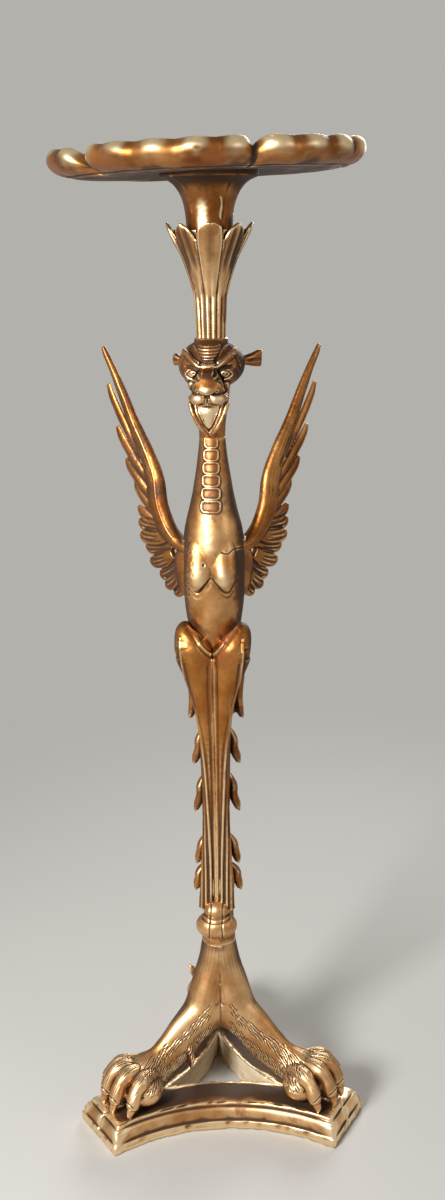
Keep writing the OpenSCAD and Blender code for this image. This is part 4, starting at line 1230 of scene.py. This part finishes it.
def head_forms(bm):
    """Skull, neck, crown, cheeks, muzzle and chin, with heights from the throat."""
    ball(bm, (0, 4, 79), (head_w, 38, 27.5))
    limb(bm, [(0, 0, -4, neck_r, neck_r), (0, 0, 14, neck_r * 1.05, neck_r * 1.1),
              (0, 0, 40, neck_r * 1.3, neck_r * 1.3), (0, 3, 62, neck_r * 1.4, neck_r * 1.4)],
         16, 32, (1, 0, 0))
    limb(bm, [(0, 2, 88, shaft_r + 9, shaft_r + 9), (0, 0, 99, shaft_r + 4, shaft_r + 4),
              (0, 0, head_h + 3, shaft_r + 2, shaft_r + 2)], 12, 36, (1, 0, 0))
    ball(bm, (0, -24, 46), (21, 24, 14))
    limb(bm, [(0, -30, 42, 17, 12), (0, -34, 30, 15, 9), (0, -31, 16, 9, 7),
              (0, -27, 6, 4, 5), (0, -26, 4, 2, 3)], 30, 24, (1, 0, 0))
    # Nose: narrow bridge, broad rounded end
    limb(bm, [(0, -22, 80, 8, 8), (0, -29, 73, 9.5, 11), (0, -36, 66, 14, 13),
              (0, -43, 59, 17, 12), (0, -49, 54, 12, 8), (0, -51.5, 50, 3.5, 3.5)],
         34, 30, (1, 0, 0))
    for side in (-1, 1):
        # Lip pads, cheeks and the ridge of the brow
        limb(bm, [(side * 3.5, -46, 46, 3.5, 3), (side * 8, -46.5, 46.5, 5.5, 4.5),
                  (side * 14, -43, 46, 6.5, 4.8), (side * 19, -37, 46.5, 3.5, 3.5)],
             20, 18, (0, 0, 1))
        ball(bm, (side * 17, -17, 70), (12, 15, 12))
        ball(bm, (side * 14, -25, 59), (9, 11, 9))
        limb(bm, [(side * 29, -14, 95, 2.5, 3), (side * 23, -22, 90, 3.6, 4),
                  (side * 14, -31, 83.5, 4, 4.5), (side * 5, -35.5, 79, 4, 4.5),
                  (side * -3, -36.5, 78, 4, 4.5)], 30, 16, (1, 0, 0))
        limb(bm, [(side * 20.5, -33, 42, 2.6, 3), (side * 17.5, -37, 31, 2.6, 3),
                  (side * 10, -36.5, 16, 2.6, 3), (side * 1, -32, 5.5, 2.6, 2.6)],
             26, 12, (1, 0, 0))
        # Eyeball and lower lid
        ball(bm, (side * 16, -27.5, 72.5), (6.2, 6, 4.6))
    limb(bm, [(0, -15, 102, 13, 5), (0, -26, 95, 12, 6), (0, -32.5, 84, 7.5, 5)],
         16, 16, (1, 0, 0))

bm = bmesh.new()
head_forms(bm)
bm.transform(Matrix.Translation((0, 0, throat_z)) @ about_z(-gaze))
head = Carving("carved_head", bm, grain=0.8, rounds=4, turn=-gaze)
print("Head from", round(throat_z), "to", round(crown_z), "mm")

# %% Strokes on the head
x, y, z = head.local.T
z = z - throat_z
front = head.front(2)
view = np.stack([x, z], axis=1)
for level, half in ((99.5, 11.5), (96, 11), (92.5, 10), (89, 9), (85.5, 8)):
    head.stroke(view, [(-half, level), (half, level)], 1.5, 1.1, front)
# Cuts on each half of the face: points of the line, steps, width and depth
face_cuts = [
    ([(22, 98), (15, 90.5), (9, 84.5)], 24, 5.2, 3.6),  # hollow between panel and brow
    ([(13.5, 100), (10.8, 90), (8.2, 84)], 24, 1.2, 0.8),
    ([(8.5, 71), (15, 76), (21, 75), (24.5, 71)], 30, 1.2, 1.5),  # lids round the eyeball
    ([(8.5, 71), (14, 68), (20, 67.5), (24.5, 71)], 30, 1.4, 1.7),
    ([(9, 67), (15, 64.5), (22, 64)], 24, 1.8, 1.0),
    ([(8.5, 76), (12, 69), (17.5, 62), (20, 54)], 24, 3.2, 2.6),  # the nose stands off the cheek
    ([(2.5, 50), (7, 52), (11, 54.5)], 16, 1.7, 2.2),  # nostril
    ([(1.5, 48), (4, 50.5), (10, 51.5), (19, 52)], 24, 1.4, 1.8),  # lip pad
    ([(1.5, 40.5), (8, 39.5), (16, 40.5), (20.5, 43)], 24, 1.6, 2.2),
    ([(14, 38.5), (11, 29), (5.5, 17.5), (0, 10)], 30, 1.3, 2.2),  # chin inside its rims
    ([(27, 90), (31, 82), (32, 74)], 20, 1.6, 1.0)]  # temple
for side in (-1, 1):
    mirror = np.array([side, 1])
    for points, steps, width, deep in face_cuts:
        head.stroke(view, curve(mirror * points, steps), width, deep, front)
    # Socket and pupil; the right eye sits deeper
    socket = curve(mirror * [(8, 72), (12, 76.5), (19, 78.5), (25, 79)], 30)
    head.stroke(view, socket, 2.8, 3.6 if side > 0 else 2.4, front)
    head.stroke(view, mirror * [(16.2, 72), (16.8, 71.6)], 1.6, 1.5, front)
    # Bole shows over the brow and beside the eye
    head.bole = np.maximum(head.bole, 1.8 * front * bell(x - side * 15, 8, z - 91, 6))
    head.bole = np.maximum(head.bole, 0.8 * front * bell(x - side * 25, 8, z - 78, 9))
head.stroke(view, [(0, 42), (0, 50)], 1.6, 2.4, front)
head.stroke(view, [(-13, 38.5), (13, 38.5)], 1.0, 0.9, front)

# %% Wear, painted shade and painted highlights on the head
# Painted shade on the far side of the face, the root of the nose, the right side of the head and
# the crown
head.soil = 0.9 * front * bell(x - 17, 9, z - 72, 6.5)
head.soil += 0.75 * front * bell(x - 1, 11, z - 71, 5)
head.soil += 0.5 * smooth_step(x, 22, 34) * smooth_step(z, 45, 60) + 0.4 * smooth_step(z, 96, 104)
# Painted highlights on the chin, lip pads, brow, cheek and nose, and the bole is rubbed off the
# chin and pads
shield = (np.abs(x) < (z - 10) * 0.48) & (z < 38) & (z > 10)
pads = bell(np.abs(x) - 11, 6.5, z - 46, 3.5) * front
head.depth += 0.9 * shield * front
head.depth += 0.4 * lumps(head.at, 14, 81) + 0.12 * lumps(head.at, 4, 82)
head.bole = head.bole + 0.6 * patches(head.at, 15, 83, 0.1, 0.8)
head.bole = head.bole * (1 - shield * front) - pads
brow = bell(z - 80 - 0.55 * np.abs(x), 2.6) * (np.abs(x) < 24) * front
head.highlight_and_wear = 0.8 * shield * front + 0.8 * pads + 0.7 * brow
head.highlight_and_wear += 0.6 * front * bell(x + 17, 8, z - 68, 6)
head.highlight_and_wear += 0.5 * front * bell(x + 2, 8, z - 57, 4)
head.highlight_and_wear -= 1 - smooth_step(z, 0.5, 3)
head.finish(deep_gold, "head")

# %% Ears
def ear(node, side, reach, high):
    """A leaf-shaped ear, which ends blunt on the right."""
    bm = bmesh.new()
    blunt = 0.6 if side < 0 else 1.05
    limb(bm, [(side * (head_w - 10), 6, 80, 4, 4), (side * (head_w - 1), 10, 82, high * 0.6, 4),
              (side * mix(head_w, reach, 0.5), 14, 83, high * 0.9, 3.6),
              (side * (reach - 3), 17, 84, high * blunt, 2.4),
              (side * (reach - 1), 18, 84, high * blunt * 0.85, 0.9)], 30, 22, (0, 0, 1))
    bm.transform(Matrix.Translation((0, 0, throat_z)) @ about_z(-gaze))
    piece = Carving("carved_" + node, bm, grain=0.6, rounds=3, turn=-gaze)
    x, _, z = piece.local.T
    view = np.stack([x * side, z - throat_z], axis=1)
    front = piece.front(2)
    # One hollow runs out to the tip, and the upper edge is turned over
    for lift, deep in ((-0.1, 1.8), (0.75, -0.8)):
        piece.stroke(view, curve([(head_w, 82), (mix(head_w, reach, 0.6), 83.5 + lift * high * 0.7),
                                  (reach - 1, 84 + lift * high)]), 3.2, deep, front)
    piece.bole = patches(piece.at, 8, 91, -0.2, 0.6)
    piece.finish(deep_gold, node)

ear("ear_left", -1, head_w + 8, 8)
ear("ear_right", 1, head_w + 18, 9)

# %% [markdown]
# ## Calyx and flared neck
# A reeded shaft stands on the crown and opens into four broad and four pointed leaves. The
# neck above them was turned on a lathe, so its profile is spun round the axis.

# %% Reeded shaft and leaves
calyx_h, calyx_reach, flare_h, flare_r, flare_top_r = 124, 46.5, 45, 25, 52
leaf_z = crown_z + calyx_h
reeds = 16
shaft_shape = [(r * shaft_r,) for r in (1, 1.02, 1.07, 1.14, 1.28, 1.55, 1.95)]
shaft_shape.append((calyx_reach - 8,))

def shaft_point(along, around):
    a = 2 * math.pi * around
    fade = 1 - smooth_step(along, 0.35, 0.75)
    r = spline(shaft_shape, along)[0] * (0.97 + 0.06 * fade * abs(math.sin(reeds * a / 2)) ** 0.7)
    return Vector((r * math.cos(a), r * math.sin(a), crown_z + 0.94 * calyx_h * along))

def calyx_leaf(bm, turn, reach, top, wide, blunt):
    """A leaf that follows the shaft up and bends out; blunt is 0 for a pointed tip."""
    leaf = bmesh.new()
    start = shaft_r * 1.6
    limb(leaf, [(shaft_r * 0.8, 0, crown_z + calyx_h * 0.3, 3, 3),
                (shaft_r * 1.15, 0, crown_z + calyx_h * 0.5, wide * 0.6, 4),
                (start, 0, crown_z + calyx_h * 0.7, wide * 0.85, 4.5),
                (mix(start, reach, 0.45), 0, crown_z + calyx_h * 0.84, wide, 4),
                (mix(start, reach, 0.8), 0, mix(crown_z + calyx_h * 0.84, top, 0.65),
                 wide * mix(0.72, 0.95, blunt), 3),
                (reach, 0, top, mix(1.2, 8, blunt), 1.4)], 40, 22)
    add_turned(bm, leaf, turn)

bm = bmesh.new()
bend(bm, 60, 8 * reeds, shaft_point)
for i in range(4):
    calyx_leaf(bm, 90 * i - 45, calyx_reach - 2, leaf_z - 1, 14, 0)
    calyx_leaf(bm, 90 * i, calyx_reach, leaf_z, 15, 0.6)
calyx = Carving("carved_calyx", bm, grain=0.95, rounds=2)
print("Calyx from", round(crown_z), "to", round(leaf_z), "mm")

# %% Strokes on the calyx
x, y, z = calyx.at.T
angle = np.degrees(np.arctan2(y, x))
rise = (z - crown_z) / calyx_h
outer = np.clip((x * calyx.out[:, 0] + y * calyx.out[:, 1]) / np.hypot(x, y) * 2 + 0.3, 0, 1)
from_leaf = (angle + 22.5) % 45 - 22.5
across = np.radians(from_leaf) * np.hypot(x, y)
broad = np.abs((angle + 45) % 90 - 45) < 22.5
# A broad leaf has a clean bead round its tongue, a pointed one a crease down the middle
leaf_half = np.interp(rise, (0.35, 0.5, 0.7, 0.84, 0.95, 1), (6, 8.2, 11.4, 13.8, 13.2, 8))
rim = bell(np.abs(across) - leaf_half + 1.2, 0.9)
outside = bell(np.abs(across) - leaf_half - 1.2, 1.1)
leafy = smooth_step(rise, 0.32, 0.5) * outer
calyx.depth += leafy * broad * (1.6 * outside - 0.6 * rim)
crease = bell(across, 1.2)
flute = bell(np.abs(across) - 5, 2.6)
calyx.depth += leafy * ~broad * (0.7 * flute - 0.3 * crease) * smooth_step(rise, 0.5, 0.7)
# The shaft's reeds run up into the broad leaves and fade
reeded = (1 - smooth_step(rise, 0.38, 0.68)) * outer
calyx.depth += 0.9 * reeded * ripples(np.radians(reeds * angle))
calyx.depth += 0.25 * lumps(calyx.at, 10, 101)
calyx.bole = patches(calyx.at, 12, 102, 0.1, 0.7)
# The pointed leaves and the middle of each broad leaf are darker, and the faces turned in towards
# the shaft get painted shade
calyx.soil = 0.45 * ~broad * smooth_step(rise, 0.45, 0.7) + 0.3 * (1 - smooth_step(outer, 0, 0.6))
calyx.soil += 0.45 * broad * bell(across, 7) * smooth_step(rise, 0.45, 0.75) * outer
calyx.finish(bright_gold, "calyx")

# %% Flared neck on the lathe
dish_z = leaf_z + flare_h
bm = bmesh.new()
start, stem_top = leaf_z - 34, leaf_z - 6
profile = [(0.5, start), (flare_r - 0.5, start), (flare_r, start + 0.5), (flare_r, stem_top)]
profile += [(mix(flare_r, flare_top_r, 1 - math.cos(a)),
             mix(stem_top, dish_z, math.sin(a) ** 0.9)) for a in np.radians(range(4, 84, 4))]
# The top runs up into the dish
profile += [(flare_top_r + 0.5, dish_z + 1.5), (flare_top_r + 1, dish_z + 10), (0.5, dish_z + 10)]
line = [bm.verts.new((r, 0, z)) for r, z in profile]
edges = [bm.edges.new(pair) for pair in zip(line, line[1:])]
bmesh.ops.spin(bm, geom=line + edges, cent=(0, 0, 0), axis=(0, 0, 1), angle=2 * math.pi,
               steps=144, use_merge=True)
bmesh.ops.remove_doubles(bm, verts=bm.verts, dist=1e-3)
bmesh.ops.holes_fill(bm, edges=[e for e in bm.edges if e.is_boundary])
long_edges = [e for e in bm.edges if e.calc_length() > 4]
bmesh.ops.subdivide_edges(bm, edges=long_edges, cuts=6, use_grid_fill=True)
neck = Carving("turned_neck", bm, grain=0.9, rounds=2)

# %% Drip, wear, painted shade and painted highlight on the neck
x, y, z = neck.at.T
angle = np.degrees(np.arctan2(y, x))
for at_angle, deep in ((-138, -0.7), (-55, 0.6)):
    neck.depth += deep * bell(angle - at_angle, 4) * smooth_step(z, leaf_z, leaf_z + 12)
drip = bell(x - 12 - 0.9 * np.sin(z / 4), 1.5 + 0.5 * np.sin(z / 3))
drip = drip * (y < 0) * smooth_step(z, leaf_z, leaf_z + 4)
drip = drip * (1 - smooth_step(z, dish_z - 21, dish_z - 17))
neck.depth -= 0.7 * drip
neck.depth += 0.3 * lumps(neck.at, 20, 111) + 0.1 * lumps(neck.at, 4, 112)
neck.bole = 0.5 * patches(neck.at, 18, 113, 0.2, 0.9)
neck.soil = 0.3 * patches(neck.at, 26, 114, -0.2, 0.6)
# Painted shade darkens the top under the dish, most of all at the lip
neck.soil += 0.35 * smooth_step(z, dish_z - 18, dish_z - 3)
# Painted highlight low on the front left
low_highlight = bell(angle + 108, 15) * (1 - smooth_step(z, leaf_z + 14, leaf_z + 34))
shaded_lip = smooth_step(z, dish_z - 6, dish_z - 2)
neck.soil += 0.5 * shaded_lip - drip - 0.5 * low_highlight
neck.highlight_and_wear = 0.5 * drip + 0.85 * low_highlight - shaded_lip
neck.finish(deep_gold, "flared_neck")

# %% [markdown]
# ## Dish
# A shallow dish of five petals. Its rim is rolled and cut into knuckles, deep notches part
# the petals, and the underside, which the photograph looks up at, is smooth and burnished.

# %% Dish section and petals
dish_r, dish_h, dish_floor, dish_lean, notch, seat_r = 171, 33, 11, 1.5, 0.12, 60
petals, petal_turn, scallops = 5, 17.5, 5
wide_notch = (195, 235)
# Share of the radius, height, and how much of the petals' outline shows at that point
dish_section = [(0.02, 8, 0), (0.15, 8, 0), (0.3, 7.8, 0), (0.43, 6.5, 0.2), (0.56, 4, 0.35),
                (0.69, 2.2, 0.6), (0.8, 3.2, 0.8), (0.88, 6, 0.95), (0.94, 9.5, 1),
                (0.985, 16, 1), (1, dish_h - 10, 1), (0.99, dish_h - 4, 1), (0.96, dish_h, 1),
                (0.925, dish_h - 0.5, 1), (0.9, dish_h - 4, 1), (0.88, dish_h - 9, 1),
                (0.85, dish_h - 14, 1), (0.78, dish_floor + 3, 0.8),
                (0.66, dish_floor + 1.3, 0.55), (0.5, dish_floor + 0.4, 0.25),
                (seat_r / dish_r, dish_floor, 0), (0.15, dish_floor, 0), (0.02, dish_floor, 0)]

def petal(a):
    """Share of the radius that is left at an angle, least in the notches."""
    near = abs(math.sin(petals / 2 * (a + math.radians(90 - petal_turn))))
    return 1 - notch * (1 - near) ** 3

def knuckle(a):
    """0 in the cuts between two knuckles of the rim, 1 on top of one."""
    return abs(math.sin(petals / 2 * scallops * (a + math.radians(90 - petal_turn))))

def dish_point(along, around):
    """Point of the closed section: out below, over the rim and back in above."""
    share, height, shaped = spline(dish_section, along)
    a = 2 * math.pi * around
    edge = min(max(share - 0.85, 0) / 0.15, 1) ** 0.7
    dent = edge * (1 - knuckle(a) ** 1.4)
    r = dish_r * share * mix(1, petal(a), shaped) - 3.0 * dent
    # The underside rises towards the front right
    if along < 0.4:
        height += 2.6 * bell(share - 0.7, 0.14) * ripples(a + 0.8)
    # Between two petals the rim dips to a sharp notch, and widely so at the left
    span = 360 / petals
    off = (math.degrees(a) - petal_turn + 90 + span / 2) % span - span / 2
    left = wide_notch[0] < math.degrees(a) < wide_notch[1]
    gap = bell(off, 4.8 if left else 2.5)
    high = height - 2.0 * dent
    low = min(high, dish_floor + 1)
    high = mix(high, low, gap * (1 if left else 0.35) * min(edge * 1.5, 1))
    inward = 9 * edge * gap * left
    return Vector(((r - inward) * math.cos(a), (r - inward) * math.sin(a), high))

bm = bmesh.new()
bend(bm, 110, 480, dish_point)
bm.transform(Matrix.Translation((0, 0, dish_z))
             @ Matrix.Rotation(math.radians(-dish_lean), 4, "Y"))
dish = Carving("carved_dish", bm, grain=None)
print("Dish", 2 * dish_r, "mm across, with", petals, "petals")

# %% Strokes on the dish
x, y, _ = dish.at.T
angle = np.arctan2(y, x)
reach = np.hypot(x, y) / dish_r
phase = petals / 2 * (angle + math.radians(90 - petal_turn))
# Cut between the petals, running in from each notch
for i in range(petals):
    a = math.radians(petal_turn - 90 + 360 / petals * i)
    way = np.array([math.cos(a), math.sin(a)])
    dish.stroke(dish.at[:, :2], [way * 70, way * 112, way * 150], 3.0, 1.6, taper=True)
# A gouge line inside the rolled rim
inside_rim = reach / (1 - notch * (1 - np.abs(np.sin(phase))) ** 3)
dish.depth += 1.2 * bell(inside_rim - 0.865, 0.012)
dish.depth += 0.5 * lumps(dish.at, 30, 121) + 0.15 * lumps(dish.at, 7, 122)
edge_chips(dish, 5, 0.45, 0.8)
below = np.clip(-dish.out[:, 2] * 3 - 1, 0, 1)
# A curved tool mark on the underside
mark = curve([(-98, -20), (-80, -34), (-60, -30), (-52, -16)], 20)
dish.stroke(dish.at[:, :2], mark, 1.8, 1.8, below, taper=True)
dish.stroke(dish.at[:, :2], mark[4:-4] + (2, 5), 1.1, 0.9, below, taper=True)
dish.bole = 0.6 * patches(dish.at, 34, 123, 0.1, 0.8) + 0.3 * below
# Painted shade on the underside, within the rim, and patches of dirt
dish.soil = 0.1 * below * (1 + 0.5 * lumps(dish.at, 40, 124)) * (1 - smooth_step(reach, 0.8, 0.93))
dish.soil += 0.3 * patches(dish.at, 22, 125, 0, 0.7)
# Painted highlight on the tops of the knuckles that face the front
knuckle_highlight = np.sin(scallops * phase) ** 2 * (dish.out[:, 1] < -0.3)
dish.highlight_and_wear = 0.55 * knuckle_highlight * smooth_step(dish.at[:, 2], dish_z + 20, dish_z + 27)
dish.finish(deep_gold, "dish", relief=0.5)

# %% [markdown]
# ## Floor
# A plain pale floor carries the stand and its shadow.

# %% Floor
bm = bmesh.new()
bmesh.ops.create_circle(bm, cap_ends=True, segments=64, radius=2)
floor_mesh = bpy.data.meshes.new("floor")
bm.to_mesh(floor_mesh)
bm.free()
floor = bpy.data.objects.new("floor", floor_mesh)
bpy.context.collection.objects.link(floor)
floor_finish = Finish("floor")
# Its colour stays the same all over, and far from the stand it fades into the surround
away = floor_finish.length(floor_finish.place())
shade = floor_finish.set(base_color=(0.60, 0.59, 0.565, 1), roughness=0.9,
                         alpha=1 - floor_finish.step(away, 0.35, 1.6))
floor_mesh.materials.append(shade)
print("Floor", floor.dimensions.x, "m across")
